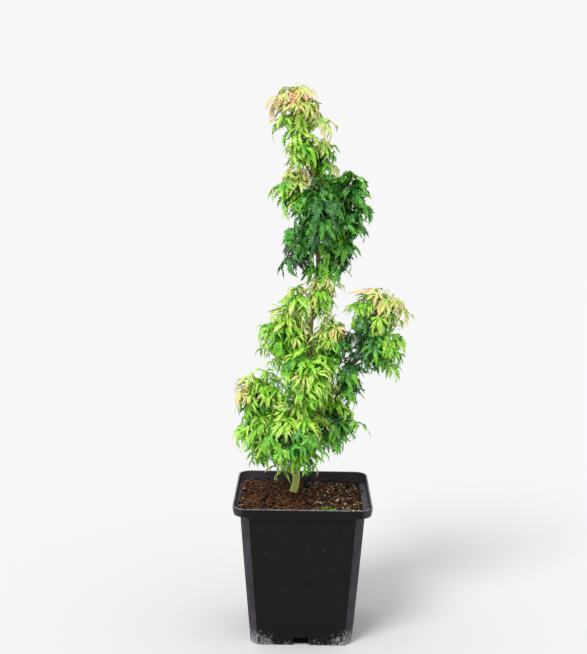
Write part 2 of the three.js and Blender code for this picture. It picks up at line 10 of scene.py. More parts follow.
import bmesh
import bpy
from mathutils import Matrix, Quaternion, Vector, noise
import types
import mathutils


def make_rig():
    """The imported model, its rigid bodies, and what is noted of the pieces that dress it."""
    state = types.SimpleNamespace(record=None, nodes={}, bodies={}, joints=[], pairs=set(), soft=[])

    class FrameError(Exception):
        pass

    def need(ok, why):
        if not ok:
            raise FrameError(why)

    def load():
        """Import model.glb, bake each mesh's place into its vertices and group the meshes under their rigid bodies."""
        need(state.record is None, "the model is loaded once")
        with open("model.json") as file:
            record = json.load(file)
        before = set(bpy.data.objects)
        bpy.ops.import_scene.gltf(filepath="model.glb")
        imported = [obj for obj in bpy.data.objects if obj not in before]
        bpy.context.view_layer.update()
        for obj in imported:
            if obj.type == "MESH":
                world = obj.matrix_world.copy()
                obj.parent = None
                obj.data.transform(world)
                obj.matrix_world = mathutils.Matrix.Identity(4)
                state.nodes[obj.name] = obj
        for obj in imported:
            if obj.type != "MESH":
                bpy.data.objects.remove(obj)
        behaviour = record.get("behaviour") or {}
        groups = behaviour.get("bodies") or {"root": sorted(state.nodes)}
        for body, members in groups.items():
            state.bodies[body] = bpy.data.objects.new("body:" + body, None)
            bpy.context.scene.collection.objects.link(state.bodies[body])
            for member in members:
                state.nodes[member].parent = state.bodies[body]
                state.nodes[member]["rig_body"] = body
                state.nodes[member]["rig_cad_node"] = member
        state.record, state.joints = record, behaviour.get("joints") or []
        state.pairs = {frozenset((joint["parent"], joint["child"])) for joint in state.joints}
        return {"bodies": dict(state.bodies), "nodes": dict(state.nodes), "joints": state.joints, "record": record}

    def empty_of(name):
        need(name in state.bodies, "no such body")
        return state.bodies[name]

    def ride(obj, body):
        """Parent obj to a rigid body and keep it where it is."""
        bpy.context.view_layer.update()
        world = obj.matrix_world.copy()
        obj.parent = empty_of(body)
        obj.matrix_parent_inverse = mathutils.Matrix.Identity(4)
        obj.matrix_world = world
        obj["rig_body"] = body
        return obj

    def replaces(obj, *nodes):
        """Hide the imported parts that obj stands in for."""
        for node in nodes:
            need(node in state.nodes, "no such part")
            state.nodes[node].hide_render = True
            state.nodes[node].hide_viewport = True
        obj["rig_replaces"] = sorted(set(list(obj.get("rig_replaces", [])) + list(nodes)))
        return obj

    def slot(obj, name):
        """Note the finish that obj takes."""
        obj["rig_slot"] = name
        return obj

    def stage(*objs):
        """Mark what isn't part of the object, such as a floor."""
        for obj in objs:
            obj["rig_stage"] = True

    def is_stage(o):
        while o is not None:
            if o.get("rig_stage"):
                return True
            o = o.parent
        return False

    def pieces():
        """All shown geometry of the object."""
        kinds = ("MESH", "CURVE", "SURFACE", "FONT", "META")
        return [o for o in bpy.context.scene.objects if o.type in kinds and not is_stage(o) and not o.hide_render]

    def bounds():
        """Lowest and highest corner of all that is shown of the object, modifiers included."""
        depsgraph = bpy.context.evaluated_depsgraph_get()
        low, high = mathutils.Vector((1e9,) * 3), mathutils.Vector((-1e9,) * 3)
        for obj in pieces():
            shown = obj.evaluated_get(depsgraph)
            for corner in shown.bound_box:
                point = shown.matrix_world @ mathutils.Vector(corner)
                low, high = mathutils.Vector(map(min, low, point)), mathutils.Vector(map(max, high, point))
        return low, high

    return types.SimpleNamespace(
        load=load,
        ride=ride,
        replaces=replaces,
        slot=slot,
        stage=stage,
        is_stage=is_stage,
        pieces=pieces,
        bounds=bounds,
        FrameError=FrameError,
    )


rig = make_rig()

bl_info = {
    "name": "Potted Maple",
    "version": (1, 0, 0),
    "blender": (4, 5, 0),
    "location": "3D View > Sidebar > Maple",
    "description": "Builds a potted Japanese maple over its CAD frame",
    "category": "Add Mesh",
}

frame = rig.load()
CAD_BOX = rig.bounds()

MM = 0.001
UP = Vector((0, 0, 1))
GOLDEN_ANGLE = math.radians(137.508)

# ---------------------------------------------------------------- the plan of the plant (mm)

# The trunk's waypoints: x, y, z and radius.
TRUNK = [
    (-7.8, 8.4, 110, 3.9),
    (-7, 8, 114.5, 3.2),
    (-5.6, 7.4, 123, 3.0),
    (-5.2, 6.8, 134, 2.9),
    (-5.8, 6.4, 147, 2.9),
    (-3.8, 5.6, 172, 2.7),
    (0.4, 4.6, 206, 2.45),
    (4.2, 3.4, 241, 2.2),
    (6.2, 2.4, 272, 2),
    (9.8, 1.6, 295, 1.9),
    (9.2, 0.8, 319, 1.75),
    (7.4, 0.3, 346, 1.6),
    (4.6, 0, 372, 1.4),
    (1.2, 0, 393, 1.2),
    (-1.6, 0, 408, 1.05),
]
FOOT = Vector((-7.4, 8.2, 112.3))

# Each bough: the limb it leaves, the height where it leaves, its tip, its lift and its radii.
BOUGHS = {
    "bough_low_left": ("trunk", 134, (-22, 5, 154), 3, (1.5, 0.9)),
    "bough_low_front": ("trunk", 130, (-7, -12, 148), 3, (1.4, 0.9)),
    "bough_low_back": ("trunk", 141, (-4, 24, 156), 3, (1.4, 0.9)),
    "bough_low_right": ("trunk", 136, (15, 6, 156), 2, (1.4, 0.9)),
    "bough_right": ("trunk", 160, (50, 2, 242), -9, (2.1, 1.1)),
    "bough_right_low": ("bough_right", 217, (53, 6, 226), -1, (1.1, 0.8)),
    "bough_mid_left": ("trunk", 168, (-25, 4, 194), 4, (1.5, 0.9)),
    "bough_mid_front": ("trunk", 178, (4, -12, 202), 3, (1.5, 0.9)),
    "bough_mid_back": ("trunk", 186, (4, 22, 206), 3, (1.4, 0.9)),
    "bough_mid_right": ("trunk", 192, (19, 0, 222), -3, (1.3, 0.9)),
    "bough_shoulder": ("trunk", 208, (-11, 3, 236), 2, (1.5, 0.9)),
    "bough_upper_right": ("trunk", 306, (23, 0, 330), -3, (1.3, 0.9)),
}

# Each mass: its root (a bough's tip, or a height on a limb), its ellipsoid's centre and radii, the
# length of its leaves, and how old they look, from 0 (coral shoot tips) to 1 (dark green).
MASSES = {
    "leaves_low_left": (("bough_low_left",), (-35, 3, 163), (27, 27, 31), 17, 0.6),
    "leaves_low_front": (("bough_low_front",), (-7, -23, 164), (34, 27, 36), 17, 0.62),
    "leaves_low_back": (("bough_low_back",), (-4, 34, 164), (32, 25, 38), 17, 0.68),
    "leaves_low_right": (("bough_low_right",), (25, 3, 171), (23, 27, 30), 17, 0.56),
    "leaves_mid_left": (("bough_mid_left",), (-36, 3, 191), (26, 27, 25), 16, 0.54),
    "leaves_mid_front": (("bough_mid_front",), (4, -23, 212), (30, 25, 32), 16, 0.52),
    "leaves_mid_back": (("bough_mid_back",), (4, 32, 216), (31, 25, 32), 16, 0.62),
    "leaves_mid_right": (("bough_mid_right",), (22, 0, 240), (20, 25, 27), 15.5, 0.48),
    "leaves_shoulder": (("bough_shoulder",), (-14, 0, 243), (28, 28, 29), 15.5, 0.45),
    "leaves_right_dark": (("bough_right", 184), (37, 2, 209), (15, 25, 31), 18, 0.77),
    "leaves_right_low": (("bough_right_low",), (60, 4, 233), (27, 26, 25), 16, 0.56),
    "leaves_right_tip": (("bough_right",), (58, 1, 261), (29, 27, 29), 17.5, 0.45),
    "leaves_right_heart": (("bough_right", 224), (43, 2, 240), (15, 24, 22), 17.5, 0.9),
    "leaves_neck": (("trunk", 256), (12, 0, 275), (17, 20, 21), 14, 0.46),
    "leaves_shoulder_top": (("trunk", 252), (-6, -2, 268), (20, 22, 19), 15, 0.46),
    "leaves_upper_foot": (("trunk", 296), (-4, -2, 313), (19, 23, 22), 18, 0.83),
    "leaves_upper_skirt": (("trunk", 288), (25, 2, 311), (20, 23, 24), 18, 0.78),
    "leaves_upper_front": (("trunk", 318), (11, -20, 342), (26, 22, 33), 20.5, 0.82),
    "leaves_upper_back": (("trunk", 322), (16, 20, 347), (26, 23, 34), 21, 0.86),
    "leaves_upper_right": (("bough_upper_right",), (33, 0, 342), (25, 27, 33), 21, 0.8),
    "leaves_upper_left": (("trunk", 342), (-9, 0, 358), (20, 22, 26), 17, 0.44),
    "leaves_collar_left": (("trunk", 372), (-4, -8, 391), (18, 21, 22), 15.5, 0.43),
    "leaves_collar_right": (("trunk", 366), (9, 6, 385), (17, 20, 23), 15.5, 0.45),
    "leaves_leader": (("trunk",), (-8, 0, 421), (32, 28, 29), 20, 0.36),
}

# Places on the plant's front (x and z) whose leaves are younger, such as shoot tips, or older.
BLUSHES = [
    ((-50, 199), 0.26),
    ((-44, 180), 0.15),
    ((-9, 188), 0.26),
    ((-20, 434), 0.22),
    ((78, 268), 0.28),
    ((5, 245), 0.12),
    ((5, 221), 0.12),
    ((18, 248), 0.14),
    ((0, 438), 0.06),
    ((54, 278), 0.16),
    ((45, 243), -0.5),
    ((52, 250), -0.2),
    ((38, 230), -0.3),
    ((46, 232), -0.2),
    ((-24, 224), -0.14),
    ((12, 232), -0.12),
    ((-14, 152), 0.16),
    ((-11, 323), -0.3),
]
BLUSH_REACH = 11

# How far a leaf's end may stand out of the solids' box.
PROUD = 1.5

# Open places between the sprays, seen from the front: x, z and radius.
OPENINGS = [
    (14, 433, 8),
    (-6, 444, 7),
    (-16, 372, 6),
    (-19, 351, 6),
    (-25, 360, 3),
    (-13, 322, 6),
    (0, 300, 4),
    (-11, 304, 5),
    (38, 307, 6),
    (2, 447, 8),
    (-14, 282, 6),
    (-29, 263, 7),
    (27, 276, 6),
    (34, 251, 6),
    (54, 287, 6),
    (48, 200, 7),
    (36, 161, 7),
    (-46, 150, 9),
    (-58, 172, 5),
    (58, 212, 5),
    (30, 385, 5),
    (56, 340, 5),
    (-47, 211, 6),
    (-6, 131, 7),
    (-24, 132, 5),
    (16, 131, 5),
    (-6, 144, 7),
    (6, 150, 5),
    (-19, 148, 4),
    (20, 140, 5),
    (-36, 156, 4),
]

# Sprays that hang out past the others: x and z on the plant's front, by mass.
SPRAYS = {
    "leaves_leader": [(18, 411), (-26, 430), (-25, 413), (-3, 430)],
    "leaves_collar_left": [(-14, 394)],
    "leaves_collar_right": [(24, 377), (17, 392)],
    "leaves_upper_left": [(-24, 362)],
    "leaves_upper_foot": [(-17, 303), (9, 298), (5, 294)],
    "leaves_upper_skirt": [(28, 296), (16, 296), (24, 290), (15, 304)],
    "leaves_upper_front": [(7, 313), (14, 308), (20, 312), (10, 306)],
    "leaves_neck": [(4, 288), (14, 262), (23, 291), (29, 286)],
    "leaves_right_tip": [(38, 267), (83, 262)],
    "leaves_right_low": [(83, 244), (61, 214), (72, 220)],
    "leaves_shoulder": [(-34, 250), (-35, 235), (-25, 222)],
    "leaves_mid_left": [(-54, 194), (-28, 214)],
    "leaves_low_left": [(-54, 170), (-28, 142)],
    "leaves_low_front": [(-24, 138), (-16, 135), (12, 138)],
    "leaves_low_right": [(44, 174), (22, 146)],
}

# ---------------------------------------------------------------- settings


def rgb(code):
    """An sRGB hex code as the linear colour that the shaders take."""

    def channel(i):
        value = int(code[i : i + 2], 16) / 255
        return value / 12.92 if value <= 0.04045 else ((value + 0.055) / 1.055) ** 2.4

    return tuple(channel(i) for i in (1, 3, 5))


def colour(name, code, description):
    return bpy.props.FloatVectorProperty(
        name=name, description=description, subtype="COLOR", size=3, min=0, max=1, default=rgb(code)
    )


def length(name, millimetres, description, least=0):
    return bpy.props.FloatProperty(
        name=name,
        description=description,
        default=millimetres * MM,
        min=least,
        unit="LENGTH",
        subtype="DISTANCE",
    )


def rotation(name, radians, description):
    return bpy.props.FloatProperty(
        name=name, description=description, default=radians, unit="ROTATION", subtype="ANGLE"
    )


class PotSettings(bpy.types.PropertyGroup):
    """Sizes and colours of the nursery pot"""

    rim: length("Rim", 110, "Width across the top of the rim band")
    band: length("Band", 108.4, "Width across the foot of the rim band")
    shoulder: length("Shoulder", 98, "Width of the body just under the band")
    base: length("Base", 81, "Width across the foot")
    height: length("Height", 117, "Height of the pot")
    ledge: length("Ledge", 109.8, "Height where the wall steps out into the band")
    wall: length("Wall", 1.2, "Thickness of the wall")
    floor: length("Floor", 1.6, "Thickness of the floor")
    notch: length("Notch", 12.5, "Width of the drain notch at the foot of each side")
    plastic: colour("Plastic", "#0D090A", "Moulded black plastic")
    # This grey is scuffed plastic on corners and edges, and on faces that turn up it is also painted highlight.
    worn_and_highlight: colour("Worn", "#3A353D", "Scuffed plastic on corners and edges")
    lime: colour("Limescale", "#A5A2A3", "Dried water marks near the foot")


class CompostSettings(bpy.types.PropertyGroup):
    """Make-up of the compost and what lies on it"""

    edge: length("Level", 109, "Height of the surface at the pot's wall")
    heap: length("Heap", 3, "How much higher it stands round the trunk")
    crumbs: bpy.props.IntProperty(
        name="Crumbs", description="Bits scattered all over it", default=2600, min=0
    )
    soil: colour("Soil", "#150D09", "Damp peat between the bits")
    russet: colour("Russet", "#66402A", "Composted bark")
    umber: colour("Umber", "#39281B", "Old bark")
    fibre: colour("Fibre", "#A27448", "Dry coir fibres")
    grit: colour("Grit", "#A89A72", "Sandy grit")
    chalk: colour("Chalk", "#DDD4B8", "Pale grit")
    moss: colour("Moss", "#4C9A2C", "Moss and small seedlings")


class WoodSettings(bpy.types.PropertyGroup):
    """Colours and relief of the trunk, the boughs and the twigs"""

    relief: length("Relief", 0.16, "Depth of the bark's ridges")
    foot: colour("Foot", "#BFCF6E", "Green bark just above the compost")
    bark: colour("Bark", "#6A6238", "Older bark on the lower trunk")
    upper: colour("Upper bark", "#A98A66", "Tan bark higher up")
    twig: colour("Twig", "#6C6B35", "Bark of the twigs")
    stalk: colour("Stalk", "#A8A455", "Leaf stalks")


class FoliageSettings(bpy.types.PropertyGroup):
    """How the leaves grow and their tints, from the youngest to the oldest, and last a painted shade green"""

    leaves: bpy.props.FloatProperty(
        name="Closeness", description="How closely the leaves stand", default=1.0, min=0.3
    )
    seed: bpy.props.IntProperty(
        name="Seed", description="Seed of the small differences in the leaves' size", default=7
    )
    tint_0: colour("Coral", "#E7B08A", "Newest leaves at the shoot tips")
    tint_1: colour("Straw", "#E1CC80", "New leaves")
    tint_2: colour("Yellow-green", "#CFDD78", "Young leaves")
    tint_3: colour("Lime", "#AAD94C", "Young leaves, fully open")
    tint_4: colour("Bright green", "#86CB30", "Leaves of the year")
    tint_5: colour("Green", "#64B325", "Older leaves")
    tint_6: colour("Leaf green", "#459822", "Older shaded leaves")
    tint_7: colour("Deep green", "#33762A", "Oldest leaves")
    tint_8: colour("Blue-green", "#2A5E28", "Oldest leaves with a bloom")
    # Shade green is painted shade: the tint of leaves deep inside the dark masses.
    tint_9: colour("Shade green", "#1B4318", "Old leaves deep inside")


TINTS = 10

# The tints that a leaf's age from 0 to 1 runs through. The last one is for older ages, which mostly come of the
# painted shade deep in a mass.
TINTS_BY_AGE = 9


class StageSettings(bpy.types.PropertyGroup):
    """Camera, floor and light"""

    focal_mm: bpy.props.FloatProperty(
        name="Focal length", description="In millimetres", default=63.2, min=1
    )
    distance: length("Distance", 910.1, "From the pot's axis to the camera, along Y")
    offset: length("Offset", -0.87, "Camera's place along X", least=-1)
    height: length("Camera height", 392.9, "Camera's height above the floor")
    pitch: rotation("Pitch", 0.154, "Downward tilt")
    yaw: rotation("Yaw", -0.009, "Turn")
    roll: rotation("Roll", 0.011, "Roll")
    key: bpy.props.FloatProperty(
        name="Key", description="Strength of the main light", default=2.1, min=0
    )
    backdrop: colour("Backdrop", "#F7F7F8", "Plain background")
    floor: colour("Floor", "#D3D3D3", "Plain floor")


# ---------------------------------------------------------------- meshes


def new_object(name, verts, faces, smooth=60):
    """A mesh object at the origin, with its edges sharp past an angle in degrees."""
    mesh = mesh_of(name, verts, faces)
    mesh.validate()
    if smooth < 180:
        mesh.set_sharp_from_angle(angle=math.radians(smooth))
    obj = bpy.data.objects.new(name, mesh)
    bpy.context.scene.collection.objects.link(obj)
    return obj


def bake(obj):
    """Swaps the object's mesh for the one its modifiers make, and removes them."""
    graph = bpy.context.evaluated_depsgraph_get()
    made = bpy.data.meshes.new_from_object(obj.evaluated_get(graph))
    old = obj.data
    obj.modifiers.clear()
    obj.data = made
    made.name = obj.name
    bpy.data.meshes.remove(old)


def mesh_of(name, verts, faces):
    """A smooth mesh without an object, with millimetre points turned to metres."""
    mesh = bpy.data.meshes.new(name)
    mesh.from_pydata([tuple(Vector(v) * MM) for v in verts], [], faces)
    mesh.polygons.foreach_set("use_smooth", [True] * len(mesh.polygons))
    return mesh


def face_outward(obj):
    """Turns every face of a closed mesh outward."""
    bm = bmesh.new()
    bm.from_mesh(obj.data)
    bmesh.ops.recalc_face_normals(bm, faces=bm.faces)
    bm.to_mesh(obj.data)
    bm.free()


def grid_faces(rows, columns):
    """Quads between neighbouring rings of points, wound to face outward."""
    faces = []
    for j in range(rows - 1):
        for i in range(columns):
            a, b = j * columns + i, j * columns + (i + 1) % columns
            faces.append((a, b, b + columns, a + columns))
    return faces


def lerp(a, b, t):
    return a + (b - a) * t


def smoothstep(low, high, value):
    t = min(max((value - low) / (high - low), 0), 1)
    return t * t * (3 - 2 * t)


class Seeded:
    """mulberry32, the same generator that grew the solids."""

    def __init__(self, seed):
        self.state = seed & 0xFFFFFFFF

    def __call__(self):
        mask = 0xFFFFFFFF
        self.state = (self.state + 0x6D2B79F5) & mask
        t = self.state
        t = ((t ^ (t >> 15)) * (t | 1)) & mask
        t ^= (t + (((t ^ (t >> 7)) * (t | 61)) & mask)) & mask
        return ((t ^ (t >> 14)) & mask) / 4294967296

    def between(self, low, high):
        return low + (high - low) * self()


# ---------------------------------------------------------------- materials


def feed(node, inputs):
    """Sets the inputs in use, by name or in order, to plain values or links.

    A link is given as a socket, or as a node for its first output in use. A colour has no alpha.
    """
    ports = [port for port in node.inputs if port.enabled]
    if isinstance(inputs, dict):
        ports = [next(port for port in ports if port.name == name) for name in inputs]
        inputs = inputs.values()
    for port, value in zip(ports, inputs):
        if isinstance(value, bpy.types.Node):
            value = next(output for output in value.outputs if output.enabled)
        if isinstance(value, bpy.types.NodeSocket):
            node.id_data.links.new(value, port)
        elif port.type == "RGBA":
            port.default_value = (*value, 1)
        else:
            port.default_value = value


def add_node(tree, kind, inputs=(), **settings):
    """A node with its settings and inputs, placed to the right of the nodes that feed it."""
    node = tree.nodes.new(kind)
    for name, value in settings.items():
        setattr(node, name, value)
    feed(node, inputs)
    feeders = [link.from_node.location.x for port in node.inputs for link in port.links]
    node.location = (max(feeders, default=-2200) + 200, -60 * len(tree.nodes))
    return node


def new_material(name, base, roughness, specular=0.5):
    """A material with a Principled shader. Returns it, its node tree and the shader."""
    material = bpy.data.materials.new(name)
    material.use_nodes = True
    material.diffuse_color = (*base, 1)
    tree = material.node_tree
    shader = tree.nodes["Principled BSDF"]
    feed(shader, {"Base Color": base, "Roughness": roughness, "Specular IOR Level": specular})
    return material, tree, shader


def object_noise(tree, per_millimetre, detail=3, stretch=(1, 1, 1)):
    """Noise with about so many bumps a millimetre, longer along an axis of stretch under 1."""
    place = add_node(tree, "ShaderNodeTexCoord").outputs["Object"]
    scale = tuple(share / MM for share in stretch)
    mapping = add_node(tree, "ShaderNodeMapping", {"Vector": place, "Scale": scale})
    inputs = {"Vector": mapping, "Scale": per_millimetre, "Detail": detail}
    return add_node(tree, "ShaderNodeTexNoise", inputs)


def height_share(tree, low, high):
    """0 at one height and 1 at another, in millimetres above the floor."""
    place = add_node(tree, "ShaderNodeTexCoord").outputs["Object"]
    parts = add_node(tree, "ShaderNodeSeparateXYZ", [place])
    return add_node(tree, "ShaderNodeMapRange", [parts.outputs["Z"], low * MM, high * MM])


def side_shares(tree):
    """How far a face of the pot turns to a corner, up and inward, each from 0 to 1."""
    place = add_node(tree, "ShaderNodeTexCoord").outputs["Object"]
    normal = add_node(tree, "ShaderNodeNewGeometry").outputs["Normal"]
    x, y, z = add_node(tree, "ShaderNodeSeparateXYZ", [normal]).outputs
    product = add_node(tree, "ShaderNodeMath", [x, y], operation="MULTIPLY")
    size = add_node(tree, "ShaderNodeMath", [product], operation="ABSOLUTE")
    corner = add_node(tree, "ShaderNodeMapRange", [size, 0.2, 0.42])
    up = add_node(tree, "ShaderNodeMapRange", [z, 0.3, 0.9])
    level = add_node(tree, "ShaderNodeVectorMath", [place, (1, 1, 0)], operation="MULTIPLY")
    outward = add_node(tree, "ShaderNodeVectorMath", [level, normal], operation="DOT_PRODUCT")
    inward = add_node(tree, "ShaderNodeMapRange", [outward, -10 * MM, -40 * MM])
    return corner, up, inward


def corner_closeness(tree, near, far):
    """0.6 up to one distance from the middle of a side and 1 past another, in millimetres."""
    place = add_node(tree, "ShaderNodeTexCoord").outputs["Object"]
    x, y, _ = add_node(tree, "ShaderNodeSeparateXYZ", [place]).outputs
    across = [add_node(tree, "ShaderNodeMath", [axis], operation="ABSOLUTE") for axis in (x, y)]
    least = add_node(tree, "ShaderNodeMath", across, operation="MINIMUM")
    return add_node(tree, "ShaderNodeMapRange", [least, near * MM, far * MM, 0.6, 1.0])


def scuffs_and_highlight(tree, settings):
    """Black plastic, greyer in patches about 11 mm wide where it rubs on its corners and on faces that turn up, and
    all over inside. On faces that turn up, such as the rim's top, the grey is also painted highlight.
    """
    corner, up, inward = side_shares(tree)
    # Faces that turn up, such as the rim's top and the ledge, are made greyer as scuffs and as painted highlight from
    # the light above.
    edges = add_node(tree, "ShaderNodeMath", [corner, up], operation="MAXIMUM")
    wear_and_highlight = add_node(tree, "ShaderNodeMath", [edges, inward], operation="MAXIMUM")
    cloud = object_noise(tree, 0.09, 6)
    uneven = add_node(tree, "ShaderNodeMapRange", [cloud, 0.3, 0.75, 0.45, 1.1])
    patchy = add_node(tree, "ShaderNodeMath", [wear_and_highlight, uneven], operation="MULTIPLY", use_clamp=True)
    inner = add_node(tree, "ShaderNodeMath", [inward, 0.9], operation="MULTIPLY")
    worn_and_highlight = add_node(tree, "ShaderNodeMath", [patchy, inner], operation="MAXIMUM")
    tones = [worn_and_highlight, settings.plastic, settings.worn_and_highlight]
    return add_node(tree, "ShaderNodeMix", tones, data_type="RGBA")


def pale_marks_and_highlight(tree):
    """How pale a place of the pot is, from 0 to 1.

    Specks of dust are about 1 mm wide. Limescale at the foot, and rubs on the brim that are also a painted highlight
    along its top, are 2 mm wide.
    """
    dust = object_noise(tree, 0.8, 2, (1, 1, 1.6))
    specks = add_node(tree, "ShaderNodeMapRange", [dust, 0.72, 0.79, 0, 0.6])
    streaks = object_noise(tree, 0.55, 9, (1, 1, 0.75))
    low = height_share(tree, 27, -4)
    near = corner_closeness(tree, 18, 36)
    place = add_node(tree, "ShaderNodeMath", [low, near], operation="MULTIPLY")
    amount = add_node(tree, "ShaderNodeMath", [place, streaks], operation="MULTIPLY")
    scale = add_node(tree, "ShaderNodeMapRange", [amount, 0.24, 0.5, 0, 0.95])
    # Painted highlight: a pale line along the top of the brim, in patches, which also stands for rubs.
    brim = height_share(tree, 116.2, 116.9)
    patches = add_node(tree, "ShaderNodeMapRange", [streaks, 0.36, 0.6, 0.1, 0.66])
    brim_rubs_and_highlight = add_node(tree, "ShaderNodeMath", [brim, patches], operation="MULTIPLY")
    marks = add_node(tree, "ShaderNodeMath", [specks, scale], operation="MAXIMUM")
    return add_node(tree, "ShaderNodeMath", [marks, brim_rubs_and_highlight], operation="MAXIMUM")


def plastic_material(settings):
    """Moulded polypropylene: satin black, greyer on its corners from scuffs and on its rim from scuffs and painted
    highlight, with dust, and limescale that gathers at the corners of its foot. Its grain is 0.5 mm, coarse enough to
    show."""
    material, tree, shader = new_material("Moulded plastic", settings.plastic, 0.42, 0.16)
    tones = [pale_marks_and_highlight(tree), scuffs_and_highlight(tree, settings), settings.lime]
    tone = add_node(tree, "ShaderNodeMix", tones, data_type="RGBA")
    grain = object_noise(tree, 2.2, 2)
    bump = add_node(tree, "ShaderNodeBump", {"Height": grain, "Distance": 0.05 * MM})
    feed(shader, {"Base Color": tone, "Normal": bump})
    return material


def set_stops(node, stops):
    """Gives a colour ramp its stops, each a position and a linear colour."""
    elements = node.color_ramp.elements
    while len(elements) < len(stops):
        elements.new(0.5)
    for element, (position, tone) in zip(elements, stops):
        element.position = position
        element.color = (*tone, 1)


def soil_material(settings):
    """Damp peat: dark 2 mm crumbs with russet and pale specks, with painted shade that turns it black where it is
    deep, from 95 mm down to 60 mm.
    """
    material, tree, shader = new_material("Damp peat", settings.soil, 0.95, 0.1)
    clumps = object_noise(tree, 0.5, 8)
    tone = add_node(tree, "ShaderNodeValToRGB", [clumps])
    tones = settings.soil, settings.umber, settings.russet, settings.fibre
    set_stops(tone, list(zip((0.3, 0.5, 0.66, 0.85), tones)))
    # Painted shade: the compost darkens to black from 95 mm down to 60 mm, deep inside the pot.
    deep = height_share(tree, 95, 60)
    shaded = add_node(tree, "ShaderNodeMix", [deep, tone, (0, 0, 0)], data_type="RGBA")
    bump = add_node(tree, "ShaderNodeBump", {"Height": clumps, "Distance": 1.2 * MM})
    feed(shader, {"Base Color": shaded, "Normal": bump})
    return material


def crumb_material(name, base, roughness=0.9, depth=0.3):
    """A plain dull tint with a rough surface, in bumps 0.7 mm wide."""
    material, tree, shader = new_material(name, base, roughness, 0.15)
    grain = object_noise(tree, 1.4, 4)
    bump = add_node(tree, "ShaderNodeBump", {"Height": grain, "Distance": depth * MM})
    feed(shader, {"Normal": bump})
    return material


def bark_material(settings):
    """Thin smooth bark: green at the foot, dark brown above it, then tan.

    Its pale lenticels are 1 mm wide and 2 mm long, its dark strands 0.7 mm wide and 10 mm long.
    """
    material, tree, shader = new_material("Young bark", settings.bark, 0.7)
    height = height_share(tree, 110, 330)
    wander = object_noise(tree, 0.12, 4)
    drift = add_node(tree, "ShaderNodeMath", [wander, 0.12, -0.06], operation="MULTIPLY_ADD")
    place = add_node(tree, "ShaderNodeMath", [height, drift], operation="ADD")
    tone = add_node(tree, "ShaderNodeValToRGB", [place])
    middle = tuple(lerp(a, b, 0.45) for a, b in zip(settings.bark, settings.upper))
    tones = settings.foot, settings.foot, settings.bark, middle, settings.upper
    set_stops(tone, list(zip((0.03, 0.1, 0.16, 0.5, 0.9), tones)))
    flecks = object_noise(tree, 1.1, 3, (1, 1, 0.45))
    pale = add_node(tree, "ShaderNodeMapRange", [flecks, 0.6, 0.72, 0, 0.45])
    spotted = add_node(tree, "ShaderNodeMix", [pale, tone, settings.upper], data_type="RGBA")
    strands = object_noise(tree, 1.4, 3, (1, 1, 0.07))
    dark = add_node(tree, "ShaderNodeMapRange", [strands, 0.48, 0.66, 0, 0.42])
    streaked = add_node(tree, "ShaderNodeMix", [dark, spotted, settings.bark], data_type="RGBA")
    bump = add_node(tree, "ShaderNodeBump", {"Height": strands, "Distance": 0.25 * MM})
    feed(shader, {"Base Color": streaked, "Normal": bump})
    return material


def leaf_material(name, base, age):
    """A thin leaf blade: satin, glossier with age, and crinkled every 1.3 mm between its veins."""
    roughness, specular = lerp(0.5, 0.38, age), lerp(0.35, 0.75, age)
    material, tree, shader = new_material(name, base, roughness, specular)
    crinkle = object_noise(tree, 0.8, 4)
    bump = add_node(tree, "ShaderNodeBump", {"Height": crinkle, "Distance": 0.35 * MM})
    feed(shader, {"Normal": bump})
    return material


# ---------------------------------------------------------------- Geometry Nodes

SCATTER_INPUTS = {
    "Points": "NodeSocketGeometry",
    "Templates": "NodeSocketCollection",
    "Size": "NodeSocketFloat",
    "Variation": "NodeSocketFloat",
    "Seed": "NodeSocketInt",
}


def socket_id(group, name):
    """The identifier that a modifier knows a node group's input by."""
    return next(item.identifier for item in group.interface.items_tree if item.name == name)


def scatter_group(name, materials, index_name):
    """Sets a template on every point and gives each copy the material that its number asks for.

    The points carry a quaternion, a size, a template number and a material number. A template's
    face may carry a shift that is added to the number.
    """
    group = bpy.data.node_groups.new(name, "GeometryNodeTree")
    for title, kind in SCATTER_INPUTS.items():
        group.interface.new_socket(title, in_out="INPUT", socket_type=kind)
    group.interface.new_socket("Mesh", in_out="OUTPUT", socket_type="NodeSocketGeometry")
    source = add_node(group, "NodeGroupInput").outputs

    def named(attribute, kind="INT"):
        return add_node(group, "GeometryNodeInputNamedAttribute", [attribute], data_type=kind)

    templates = add_node(group, "GeometryNodeCollectionInfo", [source["Templates"], True, True])
    chances = {"Min": -1.0, "Max": 1.0, "Seed": source["Seed"]}
    chance = add_node(group, "FunctionNodeRandomValue", chances, data_type="FLOAT")
    swing = add_node(
        group, "ShaderNodeMath", [chance, source["Variation"], 1.0], operation="MULTIPLY_ADD"
    )
    own = named("size", "FLOAT")
    sized = add_node(group, "ShaderNodeMath", [own, source["Size"]], operation="MULTIPLY")
    size = add_node(group, "ShaderNodeMath", [sized, swing], operation="MULTIPLY")
    placed = add_node(
        group,
        "GeometryNodeInstanceOnPoints",
        {
            "Points": source["Points"],
            "Instance": templates,
            "Pick Instance": True,
            "Instance Index": named("template"),
            "Rotation": named("turn", "QUATERNION"),
            "Scale": size,
        },
    )
    flow = add_node(group, "GeometryNodeRealizeInstances", [placed])
    numbers = [named(index_name), named("shift")]
    shifted = add_node(group, "ShaderNodeMath", numbers, operation="ADD")
    kept = add_node(group, "ShaderNodeClamp", [shifted, 0.0, len(materials) - 1.0])
    for k, material in enumerate(materials):
        same = add_node(group, "FunctionNodeCompare", [kept, k], data_type="INT", operation="EQUAL")
        flow = add_node(group, "GeometryNodeSetMaterial", [flow, same, material])
    add_node(group, "NodeGroupOutput", [flow])
    return group


